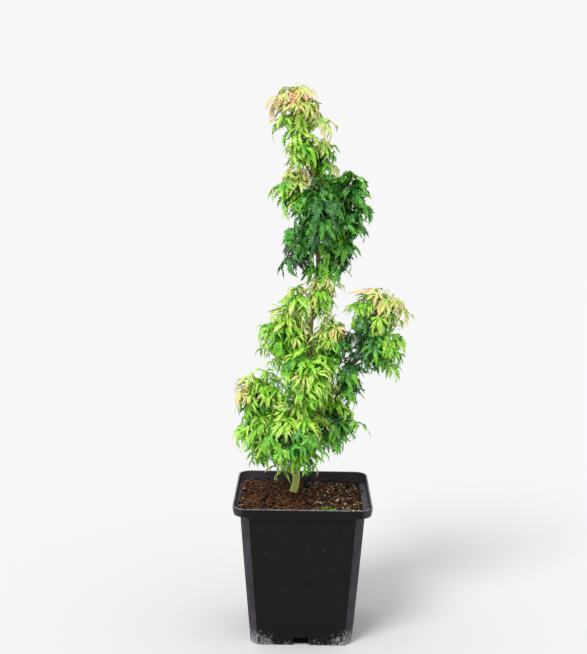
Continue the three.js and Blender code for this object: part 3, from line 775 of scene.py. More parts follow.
def scatter(name, group, templates, points, index_name, variation, seed):
    """One mesh of template copies. A point is (place, quaternion, size, template, number)."""
    places, turns, sizes, kinds, numbers = zip(*points)
    mesh = bpy.data.meshes.new(name)
    mesh.from_pydata([tuple(place * MM) for place in places], [], [])
    columns = {
        "turn": ("QUATERNION", [part for turn in turns for part in turn]),
        "size": ("FLOAT", sizes),
        "template": ("INT", kinds),
        index_name: ("INT", numbers),
    }
    for title, (kind, values) in columns.items():
        mesh.attributes.new(title, kind, "POINT").data.foreach_set("value", values)
    obj = bpy.data.objects.new(name, mesh)
    bpy.context.scene.collection.objects.link(obj)
    modifier = obj.modifiers.new("Scatter", "NODES")
    modifier.node_group = group
    inputs = {"Templates": templates, "Size": 1.0, "Variation": variation, "Seed": seed}
    for port, value in inputs.items():
        modifier[socket_id(group, port)] = value
    bake(obj)
    for attribute in (*columns, "shift"):
        if attribute in obj.data.attributes:
            obj.data.attributes.remove(obj.data.attributes[attribute])
    return obj


def template_collection(name, meshes):
    """A collection outside the scene that holds one object for each template mesh."""
    collection = bpy.data.collections.new(name)
    for i, mesh in enumerate(meshes):
        collection.objects.link(bpy.data.objects.new(f"{name}_{i:02d}", mesh))
    return collection


def drop_collection(collection):
    for obj in list(collection.objects):
        mesh = obj.data
        bpy.data.objects.remove(obj)
        bpy.data.meshes.remove(mesh)
    bpy.data.collections.remove(collection)


# ---------------------------------------------------------------- the pot (mm)

# Points of an outline round each corner and along each side.
CORNER_POINTS = 10
SIDE_POINTS = 8

# How round the body's corners are, from 0 to 1, and the radius of the band's.
BODY_ROUNDING = 0.12
BAND_CORNER = 11

# The drain notches' height and the radius of their upper corners.
NOTCH_HEIGHT = 7
NOTCH_CURVE = 1.2

# The drain holes' radius, and how far their middles are from the pot's along X and along Y.
HOLE_RADIUS = 4
HOLE_PLACE = 24

# The least angle in degrees that shows as an edge.
EDGE_ANGLE = 32

# What the mould leaves on the front: x, z, half a width, half a height and how far it stands out.
# A square panel beside the notch, and the gate's dot on the band.
MOULD_MARKS = [(14.5, 5.2, 2.3, 1.6, 0.35), (-15, 113.4, 0.9, 0.7, 0.3)]


def outline(half, corner, rounding):
    """A square whose corners are flat chamfers (rounding 0) or quarter circles (rounding 1)."""
    points = []
    inner = half - corner
    for quarter in range(4):
        turn = Matrix.Rotation(math.radians(90 * quarter), 2)
        for i in range(CORNER_POINTS):
            along = i / (CORNER_POINTS - 1)
            angle = math.pi / 2 * along
            flat = Vector((half - corner * along, half - corner * (1 - along)))
            curved = Vector((inner + corner * math.cos(angle), inner + corner * math.sin(angle)))
            points.append(turn @ flat.lerp(curved, rounding))
        after, before_next = turn @ Vector((inner, half)), turn @ Vector((-inner, half))
        for i in range(1, SIDE_POINTS):
            points.append(after.lerp(before_next, i / SIDE_POINTS))
    return points


def squared_shell(stations, heights=None):
    """Closed mesh through square outlines. A station is (half, z, corner, rounding[, middle]).

    Where its z is None, heights gives each point's height from its x and y.
    """
    verts, rows = [], []
    for station in stations:
        half, z, corner, rounding = station[:4]
        middle = station[4] if len(station) > 4 else Vector((0, 0))
        if half == 0:
            rows.append([len(verts)])
            verts.append((middle.x, middle.y, z))
            continue
        row = []
        for p in outline(half, corner, rounding):
            x, y = p.x + middle.x, p.y + middle.y
            row.append(len(verts))
            verts.append((x, y, heights(x, y) if heights and z is None else z))
        rows.append(row)
    faces = []
    for low, high in zip(rows, rows[1:]):
        n = max(len(low), len(high))
        for i in range(n):
            j = (i + 1) % n
            a = (low[i], low[j]) if len(low) > 1 else (low[0],)
            b = (high[j], high[i]) if len(high) > 1 else (high[0],)
            faces.append((*a, *b))
    return verts, faces


def body_at(pot, z):
    """Half the body's width at a height, and how far its corners are cut."""
    share = z / (pot.ledge / MM)
    return lerp(pot.base, pot.shoulder, share) / MM / 2, lerp(6, 7, share)


def pot_stations(pot):
    """The pot's profile, up the outside of the body and the band, over the brim and down inside."""
    wall, ledge, top, floor = (v / MM for v in (pot.wall, pot.ledge, pot.height, pot.floor))
    rim, band = pot.rim / MM / 2, pot.band / MM / 2

    def body(z, inset):
        half, corner = body_at(pot, z)
        return (half - inset, z, corner - 0.6 * inset, BODY_ROUNDING)

    def lip(half, z, inset):
        return (half - inset, z, BAND_CORNER - inset, 1)

    return [
        (0, 0, 0, 0),
        # Round the foot and up the outside of the body.
        body(0, 1.4),
        body(0.1, 0.8),
        body(0.45, 0.25),
        body(1.1, 0),
        body(12, -0.05),
        body(40, -0.15),
        body(75, -0.15),
        body(100, -0.05),
        body(ledge - 0.7, 0),
        body(ledge - 0.15, -0.2),
        # Out along the ledge and up the band.
        lip(band, ledge, 1.2),
        lip(band, ledge + 0.1, 0.5),
        lip(band, ledge + 0.6, 0.08),
        lip(lerp(band, rim, 0.5), ledge + 3.6, 0),
        lip(rim, top - 1, 0),
        # Over the rounded brim.
        lip(rim, top - 0.35, 0.1),
        lip(rim, top - 0.04, 0.45),
        lip(rim, top - 0.04, 0.95),
        lip(rim, top - 0.4, 1.25),
        lip(rim, top - 1.2, 1.35),
        # Down the inside, over the ledge, to the floor.
        lip(band, ledge + wall + 0.5, wall),
        lip(band, ledge + wall + 0.1, wall + 0.35),
        body(ledge + wall, wall - 0.35),
        body(ledge + wall - 0.5, wall),
        body(floor + 0.6, wall),
        body(floor, wall + 0.6),
        (0, floor, 0, 0),
    ]


def notch_arch(half):
    """The outline of a notch, with rounded upper corners."""
    arch = [(-half, -1), (half, -1)]
    for sign in (1, -1):
        for i in range(5):
            angle = math.radians(90 * (i / 4 if sign > 0 else 1 - i / 4))
            x = sign * (half - NOTCH_CURVE + NOTCH_CURVE * math.cos(angle))
            arch.append((x, NOTCH_HEIGHT - NOTCH_CURVE + NOTCH_CURVE * math.sin(angle)))
    return arch


def drain_cutter(pot):
    """The four drain notches and the four round drain holes, as solids to cut away."""
    verts, faces = [], []

    def add_prism(outline_points, place):
        start, n = len(verts), len(outline_points)
        for depth in (0, 1):
            verts.extend(place(p, depth) for p in outline_points)
        faces.append(tuple(range(start, start + n)))
        faces.append(tuple(range(start + 2 * n - 1, start + n - 1, -1)))
        for i in range(n):
            j = (i + 1) % n
            faces.append((start + j, start + i, start + n + i, start + n + j))

    edge = pot.base / MM / 2
    arch = notch_arch(pot.notch / MM / 2)
    ring = []
    for k in range(24):
        angle = math.tau * k / 24
        x, y = HOLE_RADIUS * math.cos(angle), HOLE_RADIUS * math.sin(angle)
        ring.append((HOLE_PLACE + x, HOLE_PLACE + y))
    for quarter in range(4):
        turn = Matrix.Rotation(math.radians(90 * quarter), 3, "Z")
        add_prism(arch, lambda p, d: turn @ Vector((p[0], lerp(edge - 8, edge + 3, d), p[1])))
        add_prism(ring, lambda p, d: turn @ Vector((p[0], p[1], lerp(3, -1, d))))
    return verts, faces


def build_pot(pot):
    """The pot in one piece, with its notches and holes cut out, and its marks in another."""
    shell = new_object("nursery_pot", *squared_shell(pot_stations(pot)), EDGE_ANGLE)
    cutter = new_object("cutter", *drain_cutter(pot))
    for obj in (shell, cutter):
        face_outward(obj)
    cut = shell.modifiers.new("Notches", "BOOLEAN")
    cut.operation, cut.object, cut.solver = "DIFFERENCE", cutter, "EXACT"
    bake(shell)
    bpy.data.objects.remove(cutter)
    shell.data.set_sharp_from_angle(angle=math.radians(EDGE_ANGLE))
    plastic = plastic_material(pot)
    shell.data.materials.clear()
    shell.data.materials.append(plastic)
    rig.ride(shell, "root")
    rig.replaces(shell, "pot")
    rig.slot(shell, "pot_plastic")
    add_pot_marks(pot, plastic)


def add_pot_marks(pot, plastic):
    """The low raised marks that the mould leaves on the front."""
    verts, faces = [], []
    for middle_x, middle_z, w, h, proud in MOULD_MARKS:
        on_body = middle_z < pot.ledge / MM
        face = body_at(pot, middle_z)[0] if on_body else lerp(pot.band, pot.rim, 0.5) / MM / 2
        start = len(verts)
        for inset, out in ((0, -0.3), (0, proud * 0.6), (0.3, proud)):
            for sx, sz in ((-1, -1), (1, -1), (1, 1), (-1, 1)):
                x, z = middle_x + sx * (w - inset), middle_z + sz * (h - inset)
                verts.append((x, -(face + 0.02) - out, z))
        for j in range(2):
            for i in range(4):
                a, b = start + 4 * j + i, start + 4 * j + (i + 1) % 4
                faces.append((a, b, b + 4, a + 4))
        faces.append(tuple(start + 8 + i for i in range(4)))
        faces.append(tuple(start + 3 - i for i in range(4)))
    marks = new_object("pot_marks", verts, faces, 30)
    face_outward(marks)
    marks.data.materials.append(plastic)
    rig.ride(marks, "root")
    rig.slot(marks, "pot_plastic")


# ---------------------------------------------------------------- the compost (mm)

# The gap between the compost and the pot's inside, and the height where its top meets the wall.
WALL_GAP = 0.3
LEVEL = 108

# Rings of the compost's top, from the wall to the trunk.
RINGS = 44

# The bits come in pairs of templates. Each name is the number of its pair's first.
CHIPS, CRUMBS, FIBRES, STONES, MOSS = 0, 2, 4, 6, 8

# The numbers of the bits' tones.
RUSSET, UMBER, PEAT, COIR, SANDY, PALE, GREEN = range(7)
BARKS = (RUSSET, UMBER)
DARKS = (RUSSET, UMBER, PEAT)

# Up to which share of chance the mix gives a stone, where it is all sandy, a crumb and a chip.
STONES_TO, CRUMBS_TO, CHIPS_TO = 0.3, 0.76, 0.96

# Noise of the surface: height and waves a millimetre.
ROUGHNESS = ((1.5, 0.11), (1.3, 0.27), (0.8, 0.7))

# How many of the other bits there are, or are tried.
CLODS = 90
LOOSE_FIBRES = 56
LEDGE_TRIES = 3800
FOOT_BITS = 150
MOSS_PLANTS = 34

# The middle of the moss, its radius, and how near the trunk the mix and the clods come.
MOSS_PLACE = (21, -30)
MOSS_REACH = 5.5
MIX_CLEARANCE = 5.5
CLOD_CLEARANCE = 9

# How much larger or smaller than its size a bit may come out, as a share, and the seed of it.
BIT_VARIATION = 0.15
BIT_SEED = 3

# The largest stones: x, y, template and size.
LARGE_STONES = [(41, -32, STONES, 1.9), (44, 30, STONES + 1, 2.1)]


def surface_height(settings, x, y):
    """Lumpy compost: a low heap round the trunk, a crumbly mound behind it to the left."""
    away = math.hypot(x - FOOT.x, y - FOOT.y)
    level = settings.edge / MM + settings.heap / MM * math.exp(-((away / 30) ** 2))
    mound = 1.6 * math.exp(-(((x + 18) / 12) ** 2 + ((y - 12) / 9) ** 2))
    place = Vector((x, y, 0))
    rough = sum(height * noise.noise(place * waves) for height, waves in ROUGHNESS)
    left = 1.2 * smoothstep(8, -34, x) - 0.5
    return level + left + mound * smoothstep(4, 9, away) + rough * smoothstep(3, 8, away)


def build_compost(settings, pot):
    """The compost in one piece, down to the pot's floor, and the bits on it in another."""
    wall, floor = pot.wall / MM + WALL_GAP, pot.floor / MM + WALL_GAP

    def side(z):
        half, corner = body_at(pot, z)
        return half - wall, corner - 0.6 * wall

    stations = [(0, floor, 0, 0)]
    for z in (floor, 40, 80, 105):
        half, corner = side(z)
        stations.append((half, z, corner, BODY_ROUNDING))
    edge_half, edge_corner = side(LEVEL)
    foot = Vector((FOOT.x, FOOT.y))
    for k in range(RINGS):
        share = 1 - k / RINGS
        corner = edge_corner * share + edge_half * (1 - share) * 0.6
        rounding, middle = 1 - share * 0.88, foot * (1 - share**2)
        stations.append((edge_half * share, None, corner, rounding, middle))
    stations.append((0, surface_height(settings, foot.x, foot.y), 0, 0, foot))
    verts, faces = squared_shell(stations, lambda x, y: surface_height(settings, x, y))
    soil = new_object("compost_bed", verts, faces, 180)
    face_outward(soil)
    soil.data.materials.append(soil_material(settings))
    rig.ride(soil, "root")
    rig.replaces(soil, "compost")
    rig.slot(soil, "potting_mix")
    scatter_crumbs(settings, pot)


def lump_mesh(name, random, shape, sides=7, rows=4, roughness=0.25):
    """A closed irregular lump, flattened or stretched to a shape."""
    verts = [(0, 0, -shape[2])]
    for j in range(1, rows):
        tilt = math.pi * (j / rows - 0.5)
        for i in range(sides):
            turn = math.tau * (i + 0.5 * (j % 2)) / sides
            reach = 1 + random.between(-roughness, roughness)
            x = shape[0] * math.cos(tilt) * math.cos(turn) * reach
            y = shape[1] * math.cos(tilt) * math.sin(turn) * reach
            verts.append((x, y, shape[2] * math.sin(tilt) * reach))
    verts.append((0, 0, shape[2]))
    faces = [(0, 1 + (i + 1) % sides, 1 + i) for i in range(sides)]
    for j in range(rows - 2):
        for i in range(sides):
            a, b = 1 + j * sides + i, 1 + j * sides + (i + 1) % sides
            faces.append((a, b, b + sides, a + sides))
    last, start = len(verts) - 1, 1 + (rows - 2) * sides
    faces += [(last, start + i, start + (i + 1) % sides) for i in range(sides)]
    return mesh_of(name, verts, faces)


def fibre_mesh(name, random):
    """A thin bent strand."""
    bend = random.between(0.5, 1.6)
    points = []
    for k in range(9):
        t = k / 8
        points.append(Vector((8 * (t - 0.5), bend * math.sin(3 * t + bend), 0.8 * math.sin(2 * t))))
    return mesh_of(name, *tube(points, lambda t: 0.11, 4))


def moss_mesh(name, random):
    """A rosette of small pointed blades."""
    verts, faces = [], []
    for k in range(9):
        turn, rise = k * GOLDEN_ANGLE, random.between(0.3, 1.2)
        out = Vector((math.cos(turn), math.sin(turn), rise)).normalized()
        across = Vector((-math.sin(turn), math.cos(turn), 0))
        reach = random.between(1.4, 2.4)
        start = len(verts)
        for t, w in ((0, 0.12), (0.4, 0.42), (0.75, 0.3)):
            verts += [out * reach * t - across * w, out * reach * t + across * w]
        verts.append(out * reach - UP * 0.3)
        for a in (start, start + 2):
            faces.append((a, a + 1, a + 3, a + 2))
        faces.append((start + 4, start + 5, start + 6))
    return mesh_of(name, verts, faces)


def crumb_templates(random):
    """Two of each: flat bark chips, crumbs, fibres, rounded stones and moss."""
    return [
        lump_mesh("chip_a", random, (2.6, 1.3, 0.5)),
        lump_mesh("chip_b", random, (1.9, 1.2, 0.6)),
        lump_mesh("crumb_a", random, (1.0, 0.9, 0.8)),
        lump_mesh("crumb_b", random, (0.7, 0.8, 0.6)),
        fibre_mesh("fibre_a", random),
        fibre_mesh("fibre_b", random),
        lump_mesh("stone_a", random, (1.3, 1.1, 0.9), 8, 5, 0.1),
        lump_mesh("stone_b", random, (1.0, 0.8, 0.8), 8, 5, 0.12),
        moss_mesh("moss_a", random),
        moss_mesh("moss_b", random),
    ]


def crumb_tones(settings):
    """One material for each number of a tone, in their order."""
    return [
        crumb_material("Russet bark", settings.russet),
        crumb_material("Old bark", settings.umber),
        crumb_material("Peat crumb", settings.soil),
        crumb_material("Coir fibre", settings.fibre),
        crumb_material("Sandy grit", settings.grit, 0.75, 0.15),
        crumb_material("Pale grit", settings.chalk, 0.7, 0.1),
        crumb_material("Moss", settings.moss, 0.6, 0.1),
    ]


class Litter:
    """The bits that lie on the compost, as points for the scatter, with their seeded draws."""

    def __init__(self, settings, pot, random):
        self.settings, self.pot, self.random = settings, pot, random
        self.reach = body_at(pot, LEVEL)[0] - pot.wall / MM - 1.6
        self.points = []

    def spot(self, reach):
        return self.random.between(-reach, reach), self.random.between(-reach, reach)

    def one_of(self, pair):
        return pair + int(self.random() * 2)

    def any_of(self, tones):
        return tones[int(self.random() * len(tones))]

    def put(self, x, y, template, tone, size, sink=0.25, tilt=0.6):
        """Lays a bit on the surface, sunk and tilted at random, at most so far."""
        between = self.random.between
        z = surface_height(self.settings, x, y) + between(-sink, 0.5)
        turn = (
            Quaternion((0, 0, 1), between(0, math.tau))
            @ Quaternion((1, 0, 0), between(-tilt, tilt))
            @ Quaternion((0, 1, 0), between(-tilt, tilt))
        )
        self.points.append((Vector((x, y, z)), turn, size, template, tone))

    def keep_within_wall(self, meshes):
        """Drops the bits that would come through the pot's wall, at their largest."""
        half, corner = body_at(self.pot, LEVEL - 1)

        def inside(point):
            place, turn, size, template, _ = point
            for vertex in meshes[template].vertices:
                spot = place + turn @ (vertex.co * ((1 + BIT_VARIATION) * size / MM))
                x, y = abs(spot.x), abs(spot.y)
                if max(x, y) > half - 0.1 or x + y > 2 * half - corner - 0.2:
                    return False
            return True

        self.points = [point for point in self.points if inside(point)]


def lay_mix(litter, count):
    """Chips, crumbs, fibres and stones all over, with more stones on the right."""
    random, reach = litter.random, litter.reach
    for _ in range(count):
        x, y = litter.spot(reach)
        in_corner = abs(x) + abs(y) > 2 * reach - 6
        if in_corner or math.hypot(x - FOOT.x, y - FOOT.y) < MIX_CLEARANCE:
            continue
        sandy = smoothstep(-12, 22, x + 14 * noise.noise(Vector((x, y, 5)) * 0.08))
        pick, size = random(), random.between(0.5, 1.25)
        if pick < STONES_TO * sandy:
            stone, tone = litter.one_of(STONES), SANDY if random() < 0.75 else PALE
            litter.put(x, y, stone, tone, size * random.between(0.45, 0.95))
        elif pick < CRUMBS_TO:
            litter.put(x, y, litter.one_of(CRUMBS), litter.any_of(DARKS), size)
        elif pick < CHIPS_TO:
            chip, tone = litter.one_of(CHIPS), litter.any_of(BARKS)
            litter.put(x, y, chip, tone, size * random.between(0.6, 1))
        else:
            litter.put(x, y, litter.one_of(FIBRES), COIR if random() < 0.6 else RUSSET, size)


def lay_clods_and_fibres(litter):
    """Large crumbs away from the trunk, then loose fibres on the left."""
    random, reach = litter.random, litter.reach
    for _ in range(CLODS):
        x, y = litter.spot(reach)
        if math.hypot(x - FOOT.x, y - FOOT.y) > CLOD_CLEARANCE:
            crumb, tone = litter.one_of(CRUMBS), litter.any_of(DARKS)
            litter.put(x, y, crumb, tone, random.between(1.8, 2.8), 0.8)
    for _ in range(LOOSE_FIBRES):
        x, y = random.between(-reach, -6), random.between(-reach, reach)
        fibre, tone = litter.one_of(FIBRES), COIR if random() < 0.5 else RUSSET
        litter.put(x, y, fibre, tone, random.between(1.1, 1.9), 0)


def lay_ledge_bits(litter):
    """Bits on the ledge inside the band, mostly at the front left."""
    random, pot = litter.random, litter.pot
    ledge = pot.ledge / MM + pot.wall / MM
    outer = pot.band / MM / 2 - pot.wall / MM - 2.2
    for _ in range(LEDGE_TRIES):
        x, y = litter.spot(outer)
        on_ledge = max(abs(x), abs(y)) > litter.reach + 1 and abs(x) + abs(y) < 2 * outer - 9
        likely = 0.12 + 0.88 * smoothstep(10, -30, x) * (1 if y < 20 else 0.4)
        if on_ledge and random() < likely:
            template = int(random() * 4)
            tone = COIR if random() < 0.12 else litter.any_of(DARKS)
            litter.put(x, y, template, tone, random.between(0.5, 1.0))
            litter.points[-1][0].z = ledge + random.between(0, 0.9)


def lay_foot_bits(litter):
    """Chips and crumbs heaped against the trunk."""
    random = litter.random
    for _ in range(FOOT_BITS):
        away, turn = random.between(3.8, 8), random.between(0, math.tau)
        x, y = FOOT.x + away * math.cos(turn), FOOT.y + away * math.sin(turn)
        litter.put(x, y, int(random() * 4), int(random() * 2.4), random.between(0.5, 1.0), 0)
        litter.points[-1][0].z += max(0, 6 - away) * 0.35


def plant_moss(litter):
    """A patch of moss near the front."""
    random = litter.random
    for _ in range(MOSS_PLANTS):
        away, turn = MOSS_REACH * math.sqrt(random()), random.between(0, math.tau)
        x, y = MOSS_PLACE[0] + away * math.cos(turn) * 1.3, MOSS_PLACE[1] + away * math.sin(turn)
        litter.put(x, y, litter.one_of(MOSS), GREEN, 0.9, 0, 0.15)


def scatter_crumbs(settings, pot):
    """Bark, crumbs and fibres mostly on the left, grit mostly on the right, moss near the front."""
    random = Seeded(41)
    meshes = crumb_templates(random)
    templates = template_collection("crumbs", meshes)
    group = scatter_group("Crumbs", crumb_tones(settings), "tone")
    litter = Litter(settings, pot, random)
    lay_mix(litter, settings.crumbs)
    lay_clods_and_fibres(litter)
    litter.keep_within_wall(meshes)
    lay_ledge_bits(litter)
    lay_foot_bits(litter)
    plant_moss(litter)
    for x, y, stone, size in LARGE_STONES:
        litter.put(x, y, stone, PALE, size)
    points = litter.points
    bits = scatter("compost_bits", group, templates, points, "tone", BIT_VARIATION, BIT_SEED)
    drop_collection(templates)
    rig.ride(bits, "root")
    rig.slot(bits, "potting_mix")


# ---------------------------------------------------------------- limbs (mm)

TRUNK_STEPS = 220
TRUNK_SIDES = 28
BOUGH_STEPS = 60
BOUGH_SIDES = 16


class Arc:
    """A quadratic Bezier curve. Its control point is a bend, or else its middle, lifted."""

    def __init__(self, start, end, lift=0, bend=None):
        self.a, self.c = start, end
        self.b = bend if bend is not None else start.lerp(end, 0.5) + UP * lift

    def at(self, t):
        return self.a * (1 - t) ** 2 + self.b * (2 * t * (1 - t)) + self.c * t**2

    def tangent(self, t):
        return ((self.b - self.a) * (1 - t) + (self.c - self.b) * t).normalized()


class TrunkCurve:
    """A Catmull-Rom curve of tension 0.5 through the trunk's waypoints."""

    def __init__(self):
        self.points = [Vector(w[:3]) for w in TRUNK]

    def at(self, t):
        p, n = self.points, len(self.points)
        place = t * (n - 1)
        i = min(int(place), n - 2)
        w = place - i
        before = p[i - 1] if i else p[0] * 2 - p[1]
        after = p[i + 2] if i + 2 < n else p[-1] * 2 - p[-2]
        a, b = p[i], p[i + 1]
        ta, tb = (b - before) * 0.5, (after - a) * 0.5
        return a + ta * w + (a * -3 + b * 3 - ta * 2 - tb) * w**2 + (a * 2 - b * 2 + ta + tb) * w**3

    def tangent(self, t):
        low, high = max(t - 1e-4, 0), min(t + 1e-4, 1)
        return (self.at(high) - self.at(low)).normalized()


class Limb:
    """A curve from 0 to 1 and its radius along it."""

    def __init__(self, curve, radius):
        self.curve, self.radius = curve, radius

    def share_at_height(self, height):
        """How far along it reaches a height, from 0 to 1."""
        low, high = 0.0, 1.0
        for _ in range(30):
            middle = (low + high) / 2
            if self.curve.at(middle).z < height:
                low = middle
            else:
                high = middle
        return (low + high) / 2


def trunk_radius(t):
    """The trunk's radius between its waypoints."""
    place = t * (len(TRUNK) - 1)
    i = min(int(place), len(TRUNK) - 2)
    return lerp(TRUNK[i][3], TRUNK[i + 1][3], place - i)


def taper(start, end):
    return lambda t: lerp(start, end, t)


def grow_limbs():
    """The trunk and the boughs, by name."""
    limbs = {"trunk": Limb(TrunkCurve(), trunk_radius)}
    for name, (source, height, tip, lift, radius) in BOUGHS.items():
        parent = limbs[source]
        start = parent.curve.at(parent.share_at_height(height))
        limbs[name] = Limb(Arc(start, Vector(tip), lift), taper(*radius))
    return limbs


def tube(points, radius, sides, relief=None):
    """A closed round tube through points. The relief adds to the radius at (point, angle)."""
    verts, rows = [], len(points)
    across = (points[1] - points[0]).orthogonal().normalized()
    for k, point in enumerate(points):
        t = k / (rows - 1)
        tangent = (points[min(k + 1, rows - 1)] - points[max(k - 1, 0)]).normalized()
        across = (across - tangent * across.dot(tangent)).normalized()
        other = tangent.cross(across)
        for i in range(sides):
            angle = math.tau * i / sides
            r = radius(t) + (relief(point, angle) if relief else 0)
            verts.append(point + across * (math.cos(angle) * r) + other * (math.sin(angle) * r))
    faces = grid_faces(rows, sides)
    faces.append(tuple(range(sides - 1, -1, -1)))
    faces.append(tuple(len(verts) - sides + i for i in range(sides)))
    return verts, faces


def add_tube(into, points, radius, sides, relief=None):
    """Adds a tube to a pair of lists, of points and of faces."""
    verts, faces = tube(points, radius, sides, relief)
    start = len(into[0])
    into[0].extend(verts)
    into[1].extend(tuple(start + i for i in face) for face in faces)


def bark_relief(settings):
    """Fine ridges along the limb and a swollen ring at each old leaf joint."""
    depth = settings.relief / MM

    def relief(point, angle):
        around = Vector((math.cos(angle) * 1.6, math.sin(angle) * 1.6, point.z * 0.1))
        ridges = noise.noise(around * 1.7) + 0.5 * noise.noise(around * 4.1)
        joint = math.exp(-((((point.z + 4 * math.cos(angle)) % 27) - 13.5) ** 2) / 1.4)
        return depth * ridges + 0.2 * joint

    return relief


def build_limbs(wood, limbs):
    """The trunk, with its flared foot, and the boughs, each thicker where it leaves its parent."""
    material = bark_material(wood)
    relief = bark_relief(wood)
    trunk = limbs["trunk"]
    low = trunk.share_at_height(FOOT.z - 1.8)
    points = [trunk.curve.at(lerp(low, 1, k / TRUNK_STEPS)) for k in range(TRUNK_STEPS + 1)]
    points[0].z = points[1].z - 0.4

    def flared(t):
        return trunk_radius(lerp(low, 1, t)) * lerp(1, 0.84, smoothstep(0.1, 0.5, t))

    def rooty(point, angle):
        flare = 0.4 * math.exp(-(((point.z - FOOT.z) / 3.2) ** 2))
        return relief(point, angle) + flare * (0.5 + 0.5 * math.cos(5 * angle + 1))

    bark = new_object("bark_trunk", *tube(points, flared, TRUNK_SIDES, rooty), 180)
    face_outward(bark)
    bark.data.materials.append(material)
    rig.ride(bark, "root")
    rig.replaces(bark, "trunk")
    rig.slot(bark, "bark")
    mesh = ([], [])
    for name, limb in limbs.items():
        if name == "trunk":
            continue
        line = [limb.curve.at(k / BOUGH_STEPS) for k in range(BOUGH_STEPS + 1)]

        def collared(t, radius=limb.radius):
            return radius(t) * (1 + 0.45 * math.exp(-t / 0.07))

        add_tube(mesh, line, collared, BOUGH_SIDES, relief)
    boughs = new_object("bark_boughs", *mesh, 180)
    face_outward(boughs)
    boughs.data.materials.append(material)
    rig.ride(boughs, "root")
    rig.replaces(boughs, *BOUGHS)
    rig.slot(boughs, "bark")


# ---------------------------------------------------------------- growth of a mass (mm)

# How far apart leaves stand and how long they are, in turn, as shares of the mass's leaf length.
SPACINGS = ((0.74, 1.4), (0.56, 1.18), (0.44, 0.95))

# Steps of three sequences that spread points evenly and don't follow one another.
SPREAD = (0.8192, 0.671, 0.5497)

# How many places are tried for each spacing, and how many turns of the leaf at each place.
TRIES = 340
LEAF_TURNS = 5

# Shoots that the solids have beside a mass's main one, and finer ones that only show here.
SIDE_SHOOTS = 3
FINE_SHOOTS = 5

# Where twigs may leave a shoot, as shares of its length.
NODE_SHARES = (0.3, 0.42, 0.54, 0.66, 0.78, 0.88, 0.97)

# Least and greatest distance from a leaf: of a node that its stalk reaches, of the end of a twig
# that grows for it, and of the node where such a twig starts.
STALK = (3, 12)
TWIG_END = (4.5, 7.5)
TWIG_START = (12, 34)

# The middle lobe and the side lobes that a leaf is tried with: degrees and share of its length.
TRIED_LOBES = ((0, 1), (50, 0.85), (-50, 0.85))

# The length of the leaves of a spray that hangs out, as a share of the mass's, and where along Y
# they are tried.
SPRAY_LENGTH = 1.12
SPRAY_DEPTHS = (-9, 3)


class Space:
    """A mass's ellipsoid, cut flat where its neighbours' begin."""

    def __init__(self, centre, radii):
        self.centre, self.radii = Vector(centre), Vector(radii)
        self.size = sum(radii) / 3
        self.borders = []

    def meet(self, others):
        """Sets a border with each neighbour, nearer the smaller of the two."""
        for other in others:
            if other is self:
                continue
            between = other.centre - self.centre
            apart = between.length
            reach = (apart**2 + self.size**2 - other.size**2) / (2 * apart)
            self.borders.append((between / apart, reach))

    def holds(self, point, slack=-0.2, swell=1.0):
        """Whether it has a point in it, with its borders moved out and its ellipsoid enlarged."""
        offset = point - self.centre
        inside = Vector(offset[k] / self.radii[k] for k in range(3)).length <= swell
        return inside and all(offset.dot(d) <= reach + slack for d, reach in self.borders)

    def reach(self, aim, slack):
        """How far it goes from its centre in a direction."""
        near, far = 0.0, 2 * self.size
        for _ in range(10):
            middle = (near + far) / 2
            if self.holds(self.centre + aim * middle, slack):
                near = middle
            else:
                far = middle
        return near


def segment_distance(p1, q1, p2, q2):
    """Shortest distance between two straight rods."""
    d1, d2, r = q1 - p1, q2 - p2, p1 - p2
    a, e, f = d1.dot(d1), d2.dot(d2), d2.dot(r)
    b, c = d1.dot(d2), d1.dot(r)
    wide = a * e - b * b
    s = min(max((b * f - c * e) / wide, 0), 1) if wide > 1e-9 else 0
    t = min(max((b * s + f) / e, 0), 1)
    s = min(max((b * t - c) / a, 0), 1)
    return (p1 + d1 * s - p2 - d2 * t).length


def rods_of(limb, pieces):
    """A limb as straight rods, each two ends and a radius."""
    points = [limb.curve.at(k / pieces) for k in range(pieces + 1)]
    return [(a, b, limb.radius(k / pieces)) for k, (a, b) in enumerate(zip(points, points[1:]))]


def touches(start, end, radius, rods):
    return any(segment_distance(start, end, a, b) < r + radius + 0.3 for a, b, r in rods)


def root_of(root, limbs, space):
    """Where a mass is rooted, the way its stem sets off and the stem's radius."""
    limb = limbs[root[0]]
    t = limb.share_at_height(root[1]) if len(root) > 1 else 1.0
    point, direction = limb.curve.at(t), limb.curve.tangent(t)
    if len(root) == 1:
        return point + direction * 0.1, direction, min(1.0, limb.radius(1))
    aside = space.centre - point
    aside.z = 0
    return point, (direction + aside.normalized()).normalized(), 1.0


def runs_clear(curve, radius, space, rods, slack=-0.2, swell=1.0):
    """Whether a shoot stays in its mass and off the limbs, past its first quarter."""
    points = [curve.at(k / 4) for k in range(1, 5)]
    if not all(space.holds(p, slack, swell) for p in points):
        return False
    return not any(touches(a, b, radius, rods) for a, b in zip(points, points[1:]))


